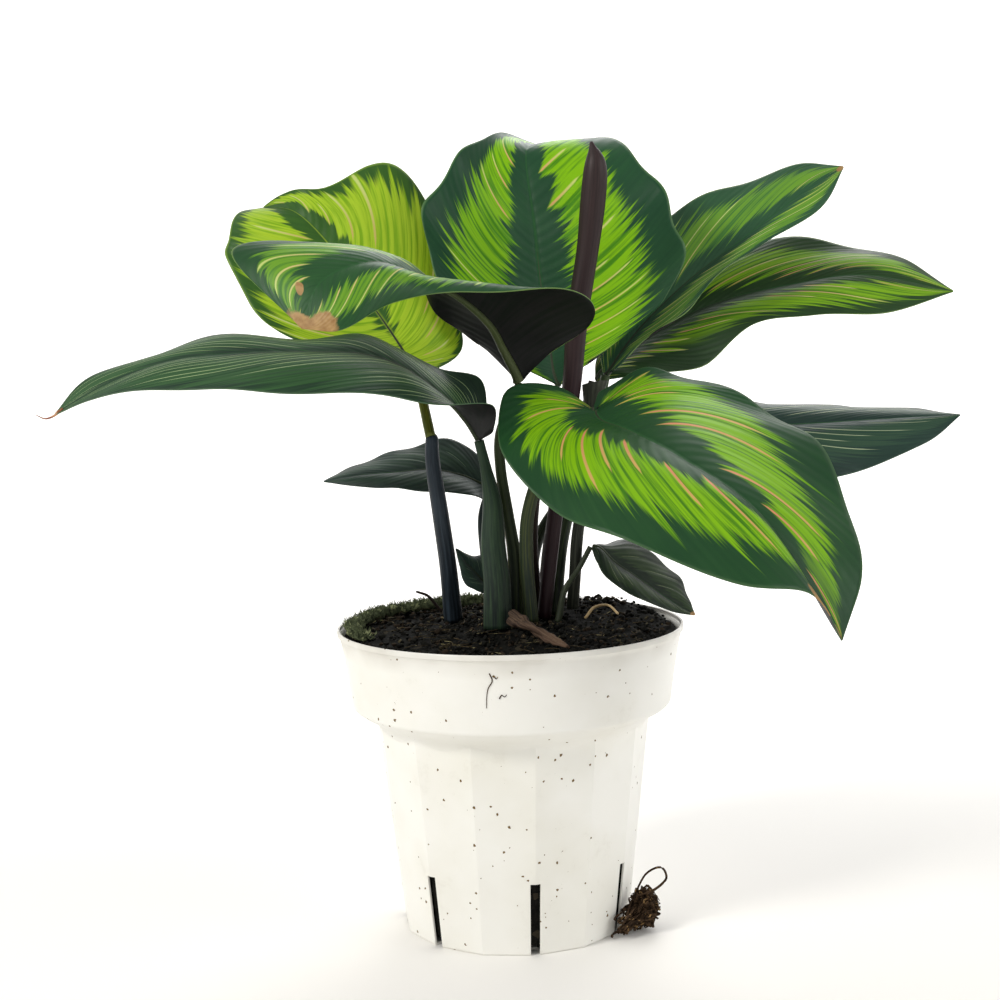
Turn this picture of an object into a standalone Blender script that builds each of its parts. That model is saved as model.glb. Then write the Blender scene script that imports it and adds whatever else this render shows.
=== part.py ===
"""A prayer plant in a white nursery pot, every leaf, stem and sheath a solid of its own.

The pot stands on z = 0 with its axis on the Z axis. Routes and outlines are given in
millimetres as (x, y, z) points that a smooth curve passes through, and a stem's route
carries its radius as a fourth value. The viewer stands at -Y, so +X is to the right.
"""

from dataclasses import dataclass
from math import cos, exp, pi, radians, sin, tau

import bmesh
import bpy
from mathutils import Matrix, Vector

MM = 0.001
SOIL_GAP = 0.9

# Nursery pot
POT_HEIGHT = 105.0
RIM_RADIUS = 60.0
COLLAR_FOOT_RADIUS = 55.5
COLLAR_FOOT_Z = 80.0
SHOULDER_RADIUS = 47.5
SHOULDER_Z = 71.0
BASE_RADIUS = 39.5
WALL = 1.3
POT_FLOOR = 2.0
FACETS = 14
POINTS_PER_FACET = 4
SLOTS = 7
SLOT_WIDTH = 3.0
SLOT_HEIGHT = 25.0
FIRST_SLOT_ANGLE = radians(8.5)

# Soil
SOIL_EDGE_Z = 103.0
SOIL_MOUND = 4.5
SOIL_MOUND_SPREAD = 24.0
SOIL_HEAP = 4.0
SOIL_HEAP_SPREAD = 16.0
SOIL_HEAP_AT = (34.0, 30.0)
SOIL_RINGS = (1.0, 0.75, 0.4)
MOSS_REACH = 54.5

# Leaf blades and stems
BLADE_THICKNESS = 0.8
BLADE_BASE_HALF_WIDTH = 1.5
BLADE_TIP_HALF_WIDTH = 0.5
STEM_STEPS = 3


@dataclass(frozen=True)
class Finish:
    """The colour and surface of one material."""

    name: str
    colour: tuple
    roughness: float

    def material(self):
        """Returns the Blender material of this finish, made once."""
        found = bpy.data.materials.get(self.name)
        if found:
            return found
        made = bpy.data.materials.new(self.name)
        made.use_nodes = True
        shader = made.node_tree.nodes["Principled BSDF"]
        shader.inputs["Base Color"].default_value = (*self.colour, 1.0)
        shader.inputs["Roughness"].default_value = self.roughness
        return made


POT_PLASTIC = Finish("white_polypropylene", (0.80, 0.79, 0.72), 0.38)
PEAT = Finish("peat_soil", (0.018, 0.017, 0.014), 0.95)
MOSS = Finish("moss", (0.09, 0.12, 0.05), 0.95)
ROOT = Finish("roots", (0.20, 0.14, 0.08), 0.9)
GREEN_LEAF = Finish("green_leaf", (0.05, 0.15, 0.04), 0.45)
LIME_LEAF = Finish("lime_leaf", (0.35, 0.55, 0.06), 0.45)
DARK_LEAF = Finish("dark_leaf", (0.03, 0.07, 0.04), 0.5)
GREEN_STEM = Finish("green_stem", (0.05, 0.08, 0.03), 0.5)
LIME_STEM = Finish("lime_stem", (0.25, 0.30, 0.03), 0.5)
PURPLE_STEM = Finish("purple_stem", (0.04, 0.02, 0.025), 0.5)
DRY_SHEATH = Finish("dry_sheath", (0.18, 0.12, 0.06), 0.85)


def smooth_point(points, at):
    """Returns the point at position `at` on the curve that passes through the points."""
    last = len(points) - 1
    index = min(int(at), last - 1)
    part = at - index
    first, start, end = points[max(index - 1, 0)], points[index], points[index + 1]
    if index == 0:
        first = 2 * start - end
    after = points[index + 2] if index + 2 <= last else 2 * end - start
    return 0.5 * (
        2 * start
        + (end - first) * part
        + (2 * first - 5 * start + 4 * end - after) * part**2
        + (3 * start - first - 3 * end + after) * part**3
    )


def smooth_run(points, steps):
    """Returns points along the smooth curve, `steps` of them for each given point."""
    count = (len(points) - 1) * steps
    return [smooth_point(points, i / steps) for i in range(count + 1)]


def add_object(name, mesh, finish):
    """Adds an object with its material and returns it."""
    mesh.materials.append(finish.material())
    obj = bpy.data.objects.new(name, mesh)
    bpy.context.scene.collection.objects.link(obj)
    return obj


def mesh_from(name, bm):
    """Turns a bmesh in millimetres into a mesh in metres, smooth but for its sharp edges."""
    bmesh.ops.scale(bm, vec=Vector((MM, MM, MM)), verts=bm.verts)
    mesh = bpy.data.meshes.new(name)
    bm.to_mesh(mesh)
    bm.free()
    mesh.shade_smooth()
    mesh.set_sharp_from_angle(angle=radians(35))
    return mesh


def close_rings(bm, rings):
    """Joins each ring of edges to the next and fills the first and the last."""
    for below, above in zip(rings, rings[1:]):
        bmesh.ops.bridge_loops(bm, edges=below + above)
    for end in (rings[0], rings[-1]):
        bmesh.ops.contextual_create(bm, geom=end)
    bmesh.ops.recalc_face_normals(bm, faces=bm.faces)


# ---------------------------------------------------------------- pot


def facet_radius(corner_radius, angle):
    """Radius at an angle of a regular polygon whose corners include the first slot."""
    half = pi / FACETS
    within = (angle - FIRST_SLOT_ANGLE) % (2 * half) - half
    return corner_radius * cos(half) / cos(within)


def ring(bm, radius, height, faceted):
    """Adds one closed ring of the pot's wall and returns its edges."""
    count = FACETS * POINTS_PER_FACET
    made = bmesh.ops.create_circle(bm, cap_ends=False, segments=count, radius=1.0)
    for index, vert in enumerate(made["verts"]):
        angle = FIRST_SLOT_ANGLE + tau * index / count
        reach = facet_radius(radius, angle) if faceted else radius
        vert.co = (reach * sin(angle), -reach * cos(angle), height)
    return list({edge for vert in made["verts"] for edge in vert.link_edges})


def wall_profile(inset, floor):
    """The wall from top to bottom as (radius, height, faceted), moved in by `inset`."""
    foot = BASE_RADIUS + (SHOULDER_RADIUS - BASE_RADIUS) * floor / SHOULDER_Z
    return [
        (RIM_RADIUS - inset, POT_HEIGHT, False),
        (COLLAR_FOOT_RADIUS - inset, COLLAR_FOOT_Z, False),
        (SHOULDER_RADIUS + 2.0 - inset, SHOULDER_Z + 4.0, False),
        (SHOULDER_RADIUS - inset, SHOULDER_Z, True),
        (foot - inset, floor, True),
    ]


def slot_cutter():
    """A guide with a box at every slot, which the pot's Boolean takes away."""
    bm = bmesh.new()
    for index in range(SLOTS):
        angle = FIRST_SLOT_ANGLE + tau * index / SLOTS
        box = bmesh.ops.create_cube(bm, size=1.0)["verts"]
        bmesh.ops.scale(bm, vec=Vector((SLOT_WIDTH, 12.0, 2 * SLOT_HEIGHT)), verts=box)
        bmesh.ops.translate(bm, vec=Vector((0, -BASE_RADIUS, 0)), verts=box)
        bmesh.ops.rotate(bm, matrix=Matrix.Rotation(angle, 3, "Z"), verts=box)
    cutter = add_object("slot_cutter", mesh_from("slot_cutter", bm), POT_PLASTIC)
    cutter.hide_render = True
    cutter.display_type = "WIRE"
    return cutter


def nursery_pot():
    """The pot: a round collar and shoulder above facets, with drain slots at its foot."""
    bm = bmesh.new()
    outer = wall_profile(0.0, 0.0)
    inner = wall_profile(WALL, POT_FLOOR)
    rings = [ring(bm, *row) for row in reversed(outer)] + [ring(bm, *row) for row in inner]
    close_rings(bm, rings)
    pot = add_object("nursery_pot", mesh_from("nursery_pot", bm), POT_PLASTIC)
    cut = pot.modifiers.new("slots", "BOOLEAN")
    cut.operation = "DIFFERENCE"
    cut.object = slot_cutter()


# ---------------------------------------------------------------- soil and what lies on it


def bump(x, y, centre, spread):
    """A round hill of height 1."""
    return exp(-((x - centre[0]) ** 2 + (y - centre[1]) ** 2) / (2 * spread**2))


def soil_height(x, y):
    """Height of the soil: a mound round the stems and a heap at the back right."""
    mound = SOIL_MOUND * bump(x, y, (5.0, 2.0), SOIL_MOUND_SPREAD)
    heap = SOIL_HEAP * bump(x, y, SOIL_HEAP_AT, SOIL_HEAP_SPREAD)
    return SOIL_EDGE_Z + mound + heap


def potting_soil():
    """The block of soil, which fills the pot and rises a little round the stems."""
    bm = bmesh.new()
    side = wall_profile(WALL + SOIL_GAP, POT_FLOOR + SOIL_GAP)
    rings = [ring(bm, *row) for row in reversed(side[1:])]
    top_radius = side[0][0] - SOIL_GAP
    for share in SOIL_RINGS:
        rings.append(ring(bm, top_radius * share, SOIL_EDGE_Z, False))
    for edges in rings[-len(SOIL_RINGS):]:
        for vert in {v for edge in edges for v in edge.verts}:
            vert.co.z = soil_height(vert.co.x, vert.co.y)
    close_rings(bm, rings)
    add_object("potting_soil", mesh_from("potting_soil", bm), PEAT)


def rim_moss():
    """Moss in a low roll along the left and back of the rim, on the soil."""
    route = []
    for step in range(8):
        angle = radians(170 + 18 * step)
        x, y = MOSS_REACH * sin(angle), -MOSS_REACH * cos(angle)
        route.append((x, y, soil_height(x, y) + 3.2, 2.2))
    stem("rim_moss", MOSS, route, steps=2)


def root_clump():
    """Roots that left the pot through a slot and balled up beside it."""
    bm = bmesh.new()
    ball = bmesh.ops.create_icosphere(bm, subdivisions=2, radius=1.0)["verts"]
    bmesh.ops.scale(bm, vec=Vector((6.5, 10.0, 9.0)), verts=ball)
    bmesh.ops.translate(bm, vec=Vector((46.5, -14.0, 9.5)), verts=ball)
    add_object("root_clump", mesh_from("root_clump", bm), ROOT)


# ---------------------------------------------------------------- stems


def stem(name, finish, route, steps=STEM_STEPS):
    """A round stem along a smooth route of (x, y, z, radius), closed at both ends."""
    curve = bpy.data.curves.new(name, "CURVE")
    curve.dimensions = "3D"
    curve.bevel_depth = MM
    curve.bevel_resolution = 2
    curve.use_fill_caps = True
    run = smooth_run([Vector(point) for point in route], steps)
    spline = curve.splines.new("POLY")
    spline.points.add(len(run) - 1)
    for knot, (x, y, z, radius) in zip(spline.points, run):
        knot.co = (x * MM, y * MM, z * MM, 1.0)
        knot.radius = radius
    return add_object(name, curve, finish)


# Each stem's finish and its route of (x, y, z, radius), from the soil up
STEMS = {
    "lime_leaf_sheath": (PURPLE_STEM, [
        (-20, 3, 109, 3.4), (-21, -3, 126, 3.1), (-23, -8, 145, 2.9), (-25, -10, 162, 2.6),
        (-25, -11, 172, 2.2),
    ]),
    "lime_leaf_petiole": (LIME_STEM, [
        (-26, -11, 174, 1.7), (-28, -6, 183, 1.6), (-30, -1, 190, 1.5), (-32, 2, 194, 1.5),
    ]),
    "long_leaf_stem": (GREEN_STEM, [
        (-4, -15, 109, 4.8), (-4, -15, 121, 4.5), (-5, -14, 134, 4.2), (-5, -13, 148, 3.3),
        (-7, -12, 160, 2.0), (-9, -12, 169, 1.7),
    ]),
    "curled_leaf_stem": (GREEN_STEM, [
        (2, -6, 110, 2.6), (2, -7, 128, 2.4), (0, -8, 144, 2.1), (-2, -8, 159, 1.9),
        (-2, -8, 171, 1.8), (2, -8, 181, 1.7), (5, -9, 188, 1.5),
    ]),
    "lower_left_leaf_stem": (GREEN_STEM, [
        (-7, 5, 110, 1.9), (-8, 8, 126, 1.8), (-9, 12, 140, 1.5), (-7, 14, 149, 1.2),
    ]),
    "front_leaf_stem": (GREEN_STEM, [
        (7, -11, 110, 2.6), (6, -12, 128, 2.5), (7, -13, 145, 2.3), (13, -15, 162, 2.1),
        (22, -17, 174, 1.9), (28, -19, 179, 1.7),
    ]),
    "round_leaf_stem": (PURPLE_STEM, [
        (9, 2, 111, 2.4), (8, 2, 134, 2.3), (10, 2, 155, 2.1), (12, 3, 172, 2.0),
        (17, 6, 185, 1.8),
    ]),
    "rolled_new_leaf": (PURPLE_STEM, [
        (12, -4, 110, 2.4), (16, -4, 141, 2.6), (20, -4, 169, 3.0), (23, -4, 189, 3.2),
        (25, -4, 209, 3.6), (29, -5, 233, 3.7), (31, -6, 249, 4.2), (32, -7, 261, 3.6),
        (31, -7, 268, 0.5),
    ]),
    "upper_right_leaf_stem": (GREEN_STEM, [
        (16, 2, 110, 2.3), (19, 6, 133, 2.2), (26, 14, 157, 2.0), (33, 19, 176, 1.8),
        (36, 21, 189, 1.6),
    ]),
    "middle_right_leaf_stem": (PURPLE_STEM, [
        (12, 9, 110, 2.2), (15, 15, 133, 2.1), (20, 23, 153, 1.9), (28, 28, 174, 1.8),
        (32, 29, 187, 1.6),
    ]),
    "lower_right_leaf_stem": (GREEN_STEM, [
        (7, 14, 109, 2.2), (11, 20, 132, 2.0), (24, 25, 149, 1.8), (39, 22, 160, 1.6),
        (47, 20, 164, 1.5),
    ]),
    "rim_leaf_stem": (PURPLE_STEM, [
        (17, -8, 109, 1.1), (19, -7, 117, 1.0), (24, -5, 124, 0.9), (28, -4, 131, 0.9),
    ]),
    "dry_sheath": (DRY_SHEATH, [
        (2, -23, 110, 1.8), (5, -28, 109, 1.6), (10, -35, 107, 1.3), (14, -42, 106, 1.0),
        (18, -48, 105, 0.6),
    ]),
    "pale_twig": (DRY_SHEATH, [
        (26, -14, 109, 0.5), (29, -8, 111, 0.5), (34, -4, 111, 0.4), (37, -10, 109, 0.4),
    ]),
    "dark_twig": (PURPLE_STEM, [
        (-26, 16, 109, 0.5), (-29, 14, 113, 0.5), (-33, 12, 115, 0.4),
    ]),
}


SHEATH_WALL = [
    (22, 3, 109, 2.2), (23, 0, 122, 2.1), (24, -1, 135, 2.1), (27, -3, 155, 1.9),
    (29, -3, 173, 1.8), (31, -2, 188, 4.6), (31, -2, 188, 3.8), (29.5, -2.8, 177, 1.2),
]


def curled_sheath():
    """An old sheath on its stalk, whose dried top stands open as a thin cup."""
    bm = bmesh.new()
    rings = []
    for x, y, z, radius in SHEATH_WALL:
        made = bmesh.ops.create_circle(bm, cap_ends=False, segments=10, radius=radius)["verts"]
        bmesh.ops.translate(bm, vec=Vector((x, y, z)), verts=made)
        rings.append(list({edge for vert in made for edge in vert.link_edges}))
    close_rings(bm, rings)
    add_object("curled_sheath", mesh_from("curled_sheath", bm), DRY_SHEATH)


# ---------------------------------------------------------------- leaf blades


@dataclass(frozen=True)
class Blade:
    """A leaf blade between its midrib and its two margins.

    The vein that starts at the midrib's point k + 1 ends at each margin's point k, so a
    margin has two points fewer than the midrib. Right and left are those of someone who
    looks at the upper side with the tip away from them. The crown is how far each half
    arches up between midrib and margin.
    """

    name: str
    finish: Finish
    rib: list
    left: list
    right: list
    crown: float = 2.0
    rows: int = 14
    columns: int = 6

    def margin(self, points, rib):
        """Returns a whole margin, from beside the petiole to beside the tip."""
        points = [Vector(point) for point in points]
        start = (points[0] - rib[1]).normalized() * BLADE_BASE_HALF_WIDTH
        end = (points[-1] - rib[-2]).normalized() * BLADE_TIP_HALF_WIDTH
        return [rib[0] + start, *points, rib[-1] + end]

    def surface(self, across, along):
        """Returns the point at -1..1 across and 0..1 along the blade."""
        rib = [Vector(point) for point in self.rib]
        at = along * (len(rib) - 1)
        left = smooth_point(self.margin(self.left, rib), at)
        right = smooth_point(self.margin(self.right, rib), at)
        middle = smooth_point(rib, at)
        chord = left * (across * (across - 1) / 2) + right * (across * (across + 1) / 2)
        point = chord + middle * (1 - across**2)
        ahead = smooth_point(rib, min(at + 0.1, len(rib) - 1)) - smooth_point(rib, max(at - 0.1, 0))
        up = (right - left).cross(ahead).normalized()
        return point + up * self.crown * sin(pi * abs(across)) * sin(pi * along)

    def build(self):
        """Adds the blade as a closed solid."""
        bm = bmesh.new()
        grid = bmesh.ops.create_grid(
            bm, x_segments=self.columns, y_segments=self.rows, size=1.0
        )["verts"]
        for vert in grid:
            vert.co = self.surface(vert.co.x, (vert.co.y + 1) / 2)
        blade = add_object(self.name, mesh_from(self.name, bm), self.finish)
        solid = blade.modifiers.new("thickness", "SOLIDIFY")
        solid.thickness = BLADE_THICKNESS * MM
        solid.offset = 0.0


BLADES = [
    Blade(
        "front_leaf", GREEN_LEAF, crown=4.0, rows=18,
        rib=[(29, -20, 180), (29, -21, 179), (30, -22, 179), (30, -24, 178), (32, -28, 176),
             (40, -38, 173), (55, -56, 165), (77, -74, 148), (98, -84, 112)],
        left=[(33, -14, 186), (48, -6, 192), (66, -6, 189), (85, -14, 179), (100, -30, 168),
              (108, -52, 147), (107, -70, 128)],
        right=[(16, -22, 188), (-1, -30, 185), (-2, -46, 168), (14, -68, 149), (36, -86, 140),
               (66, -98, 131), (88, -93, 127)],
    ),
    Blade(
        "round_leaf", GREEN_LEAF, crown=3.0, rows=16,
        rib=[(19, 8, 187), (18, 9, 189), (17, 11, 194), (16, 16, 206), (14, 20, 221),
             (12, 24, 244), (10, 34, 271), (19, 70, 276)],
        left=[(6, 6, 194), (-13, 6, 207), (-24, 8, 231), (-25, 10, 252), (-13, 20, 270),
              (1, 42, 278)],
        right=[(30, 12, 195), (49, 20, 208), (61, 18, 222), (62, 16, 242), (54, 22, 261),
               (39, 44, 276)],
    ),
    Blade(
        "lime_leaf", LIME_LEAF, rows=16,
        rib=[(-32, 3, 195), (-32, 4, 196), (-34, 5, 199), (-37, 6, 204), (-43, 9, 213),
             (-53, 15, 227), (-63, 22, 241), (-74, 28, 251), (-87, 46, 254)],
        left=[(-40, 1, 198), (-54, -2, 203), (-72, -4, 205), (-85, -2, 216), (-93, 4, 232),
              (-96, 14, 241), (-94, 32, 251)],
        right=[(-23, 6, 194), (-14, 16, 204), (-19, 26, 233), (-31, 34, 262), (-47, 34, 266),
               (-65, 30, 259), (-76, 34, 259)],
    ),
    Blade(
        "curled_leaf", GREEN_LEAF, rows=18,
        rib=[(5, -9, 189), (4, -10, 192), (0, -14, 200), (-5, -22, 209), (-15, -34, 218),
             (-27, -46, 224), (-40, -56, 228), (-55, -64, 222), (-61, -70, 208)],
        left=[(15, -16, 198), (28, -24, 207), (29, -30, 216), (9, -40, 219), (-16, -52, 218),
              (-33, -64, 215), (-48, -72, 207)],
        right=[(1, -7, 194), (-5, -6, 200), (-13, -10, 205), (-22, -18, 213), (-32, -26, 229),
               (-58, -32, 235), (-85, -46, 233)],
    ),
    Blade(
        "long_leaf", GREEN_LEAF, crown=1.5, rows=20,
        rib=[(-9, -12, 170), (-10, -13, 172), (-13, -15, 177), (-19, -18, 184), (-33, -24, 195),
             (-47, -28, 200), (-66, -32, 201), (-86, -36, 201), (-107, -39, 199),
             (-127, -42, 192), (-143, -44, 183)],
        left=[(-4, -24, 174), (-4, -34, 182), (-19, -42, 183), (-35, -48, 186), (-55, -52, 188),
              (-76, -54, 189), (-95, -54, 190), (-114, -52, 190), (-132, -48, 187)],
        right=[(-6, -7, 180), (-9, -3, 190), (-22, -4, 195), (-39, -6, 202), (-50, -9, 207),
               (-69, -13, 203), (-93, -18, 208), (-112, -27, 201), (-133, -36, 195)],
    ),
    Blade(
        "upper_right_leaf", GREEN_LEAF,
        rib=[(36, 22, 190), (38, 23, 192), (43, 26, 199), (52, 32, 209), (69, 40, 224),
             (90, 48, 239), (111, 54, 254), (129, 58, 265)],
        left=[(35, 28, 199), (37, 38, 215), (48, 50, 235), (66, 58, 250), (90, 64, 260),
              (114, 64, 267)],
        right=[(42, 20, 194), (52, 20, 204), (65, 24, 211), (78, 34, 225), (96, 42, 236),
               (119, 50, 249)],
    ),
    Blade(
        "middle_right_leaf", GREEN_LEAF,
        rib=[(33, 30, 188), (36, 33, 192), (45, 40, 198), (61, 50, 207), (82, 58, 216),
             (110, 64, 222), (139, 66, 225), (172, 64, 218)],
        left=[(36, 42, 199), (52, 60, 213), (75, 74, 228), (103, 82, 240), (133, 84, 238),
              (157, 78, 231)],
        right=[(43, 28, 189), (55, 32, 190), (74, 40, 192), (93, 50, 207), (117, 52, 210),
               (144, 54, 210)],
    ),
    Blade(
        "lower_right_leaf", DARK_LEAF,
        rib=[(48, 20, 164), (52, 22, 166), (63, 27, 168), (82, 34, 170), (109, 40, 170),
             (139, 42, 171), (168, 40, 172)],
        left=[(55, 32, 173), (73, 46, 178), (99, 58, 177), (128, 62, 175), (154, 56, 174)],
        right=[(57, 16, 160), (76, 18, 154), (102, 22, 150), (128, 28, 153), (154, 34, 162)],
    ),
    Blade(
        "lower_left_leaf", DARK_LEAF, crown=1.0, rows=12,
        rib=[(-6, 12, 152), (-9, 13, 153), (-16, 16, 156), (-27, 20, 158), (-40, 23, 157),
             (-53, 25, 156), (-66, 26, 154)],
        left=[(-6, 8, 147), (-13, 4, 150), (-27, 8, 151), (-40, 14, 152), (-52, 20, 152)],
        right=[(-8, 20, 160), (-19, 30, 168), (-35, 36, 165), (-49, 37, 161), (-60, 34, 157)],
    ),
    Blade(
        "rim_leaf", DARK_LEAF, crown=1.0, rows=10,
        rib=[(29, -4, 132), (32, -4, 131), (37, -4, 126), (44, -4, 121), (52, -4, 115),
             (59, -4, 110), (64, -4, 107)],
        left=[(33, 4, 131), (43, 10, 132), (54, 12, 124), (61, 9, 117), (63, 1, 111)],
        right=[(30, -9, 127), (33, -13, 122), (40, -14, 117), (48, -13, 113), (56, -9, 109)],
    ),
    Blade(
        "base_leaflet", DARK_LEAF, crown=0.5, rows=8, columns=4,
        rib=[(-5, -1, 115), (-7, -2, 118), (-11, -3, 123), (-15, -4, 128), (-18, -4, 132)],
        left=[(-10, -6, 117), (-15, -7, 120), (-17, -6, 126)],
        right=[(-5, 3, 122), (-8, 3, 128), (-13, 0, 129)],
    ),
]


def main():
    """Clears the scene and builds the whole plant."""
    for obj in list(bpy.data.objects):
        bpy.data.objects.remove(obj, do_unlink=True)
    nursery_pot()
    potting_soil()
    rim_moss()
    root_clump()
    for name, (finish, route) in STEMS.items():
        stem(name, finish, route)
    curled_sheath()
    for blade in BLADES:
        blade.build()


main()
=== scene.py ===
"""A prayer plant with feathered leaves in a white slotted nursery pot.

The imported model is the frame: it gives every piece's place and size. Each leaf blade, stem
and the pot is made again here as a fine surface in the same place, and takes the coarse
solid's place in the render. Lengths are in millimetres until a mesh is finished.
"""

from __future__ import annotations

import logging
import random
from collections.abc import Callable
from dataclasses import dataclass, field
from enum import Enum
from math import atan2, cos, exp, hypot, pi, radians, sin, tau

import bmesh
import bpy
from mathutils import Matrix, Vector, noise

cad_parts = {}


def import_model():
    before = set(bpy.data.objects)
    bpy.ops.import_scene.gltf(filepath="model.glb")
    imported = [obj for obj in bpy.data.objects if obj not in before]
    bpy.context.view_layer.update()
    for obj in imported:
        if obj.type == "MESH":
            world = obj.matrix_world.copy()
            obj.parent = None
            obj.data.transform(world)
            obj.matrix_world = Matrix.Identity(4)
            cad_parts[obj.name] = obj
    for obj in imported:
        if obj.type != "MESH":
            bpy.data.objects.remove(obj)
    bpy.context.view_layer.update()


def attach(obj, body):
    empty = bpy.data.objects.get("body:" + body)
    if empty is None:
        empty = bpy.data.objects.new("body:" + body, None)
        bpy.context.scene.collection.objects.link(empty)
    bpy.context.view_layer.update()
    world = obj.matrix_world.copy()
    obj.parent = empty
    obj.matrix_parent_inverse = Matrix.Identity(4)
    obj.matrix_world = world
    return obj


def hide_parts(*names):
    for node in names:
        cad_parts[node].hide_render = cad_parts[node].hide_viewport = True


log = logging.getLogger("prayer_plant")

MM = 0.001
UV_NAME = "surface"

Source = object
Place = Callable[[float, float], Vector]


# ------------------------------------------------------------------ helpers


def linear(code: str) -> tuple[float, float, float, float]:
    """Turns an sRGB hex colour into the linear colour that a shader takes.

    Args:
        code: Six hex digits, with or without a leading #.

    Returns:
        Linear red, green and blue, and an alpha of 1.
    """
    digits = code.lstrip("#")
    channels = [int(digits[i : i + 2], 16) / 255 for i in (0, 2, 4)]
    red, green, blue = (
        c / 12.92 if c <= 0.04045 else ((c + 0.055) / 1.055) ** 2.4 for c in channels
    )
    return red, green, blue, 1.0


def smooth_point(points: list[Vector], at: float) -> Vector:
    """Returns the point at position `at` on the smooth curve through the points.

    Args:
        points: Points of any dimension that the curve passes through.
        at: Position, counted in points from the first.

    Returns:
        The point on the curve.
    """
    last = len(points) - 1
    index = max(min(int(at), last - 1), 0)
    part = at - index
    start, end = points[index], points[index + 1]
    first = points[index - 1] if index > 0 else 2 * start - end
    after = points[index + 2] if index + 2 <= last else 2 * end - start
    return 0.5 * (
        2 * start
        + (end - first) * part
        + (2 * first - 5 * start + 4 * end - after) * part**2
        + (3 * start - first - 3 * end + after) * part**3
    )


def ease(low: float, high: float, value: float) -> float:
    """Returns 0 below low and 1 above high, with a smooth rise between them."""
    share = min(max((value - low) / (high - low), 0.0), 1.0)
    return share * share * (3 - 2 * share)


class NodeBuilder:
    """Builds one material out of nodes."""

    def __init__(self, name: str) -> None:
        """Starts an empty material.

        Args:
            name: The material's name, in plain words.
        """
        self.material = bpy.data.materials.new(name)
        self.material.use_nodes = True
        self.tree = self.material.node_tree
        self.tree.nodes.clear()

    def add(self, kind: str, inputs: dict | None = None, **settings: object) -> bpy.types.Node:
        """Adds a node with its settings and links.

        Args:
            kind: The node's type, without its ShaderNode prefix.
            inputs: What each shown input gets, by its name or its number. A node stands
                for its first shown output.
            settings: The node's own properties.

        Returns:
            The new node.
        """
        node = self.tree.nodes.new(f"ShaderNode{kind}")
        for key, value in settings.items():
            setattr(node, key, value)
        shown = [socket for socket in node.inputs if socket.enabled]
        for key, source in (inputs or {}).items():
            socket = shown[key] if isinstance(key, int) else node.inputs[key]
            if isinstance(source, bpy.types.Node):
                source = next(out for out in source.outputs if out.enabled)
            if isinstance(source, bpy.types.NodeSocket):
                self.tree.links.new(source, socket)
            else:
                socket.default_value = source
        return node

    def finish(self, shader: bpy.types.Node) -> bpy.types.Material:
        """Joins the shader to the output and returns the material."""
        self.add("OutputMaterial", {"Surface": shader})
        return self.material


def close_shell(bm: bmesh.types.BMesh) -> None:
    """Merges the seams, closes the ends and turns every face outwards."""
    bmesh.ops.remove_doubles(bm, verts=bm.verts, dist=1e-7)
    bmesh.ops.holes_fill(bm, edges=bm.edges, sides=0)
    bmesh.ops.recalc_face_normals(bm, faces=bm.faces)


def surface_mesh(
    name: str, columns: int, rows: int, place: Place, tube: bool = False
) -> bpy.types.Mesh:
    """Shapes a grid into a surface.

    Args:
        name: Name of the mesh.
        columns: Cells across.
        rows: Cells along.
        place: Gives the point in millimetres for 0..1 across and 0..1 along.
        tube: Joins the grid's two sides and closes its ends.

    Returns:
        The mesh in metres, with the grid's place as its UV map.
    """
    bm = bmesh.new()
    bm.loops.layers.uv.new(UV_NAME)
    bmesh.ops.create_grid(bm, x_segments=columns, y_segments=rows, size=1.0, calc_uvs=True)
    for vert in bm.verts:
        vert.co = place((vert.co.x + 1) / 2, (vert.co.y + 1) / 2) * MM
    if tube:
        close_shell(bm)
    mesh = bpy.data.meshes.new(name)
    bm.to_mesh(mesh)
    bm.free()
    mesh.shade_smooth()
    return mesh


def add_piece(
    mesh: bpy.types.Mesh, materials: list[bpy.types.Material], slot: str, *nodes: str
) -> bpy.types.Object:
    """Adds a finished piece to the plant.

    Args:
        mesh: The piece's mesh, already in place.
        materials: Its materials, in the order of its faces' numbers.
        slot: The record's material slot that it belongs to; it is not used.
        nodes: The solids that it stands for.

    Returns:
        The new object.
    """
    piece = bpy.data.objects.new(mesh.name, mesh)
    bpy.context.scene.collection.objects.link(piece)
    for material in materials:
        mesh.materials.append(material)
    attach(piece, "root")
    if nodes:
        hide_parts(*nodes)
    log.info("%s: %d faces", piece.name, len(mesh.polygons))
    return piece


# ------------------------------------------------------------------ leaf finishes


@dataclass(frozen=True)
class DrySpot:
    """A patch of dried leaf: its place across and along, and its reach each way."""

    across: float
    along: float
    reach_across: float
    reach_along: float


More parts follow.
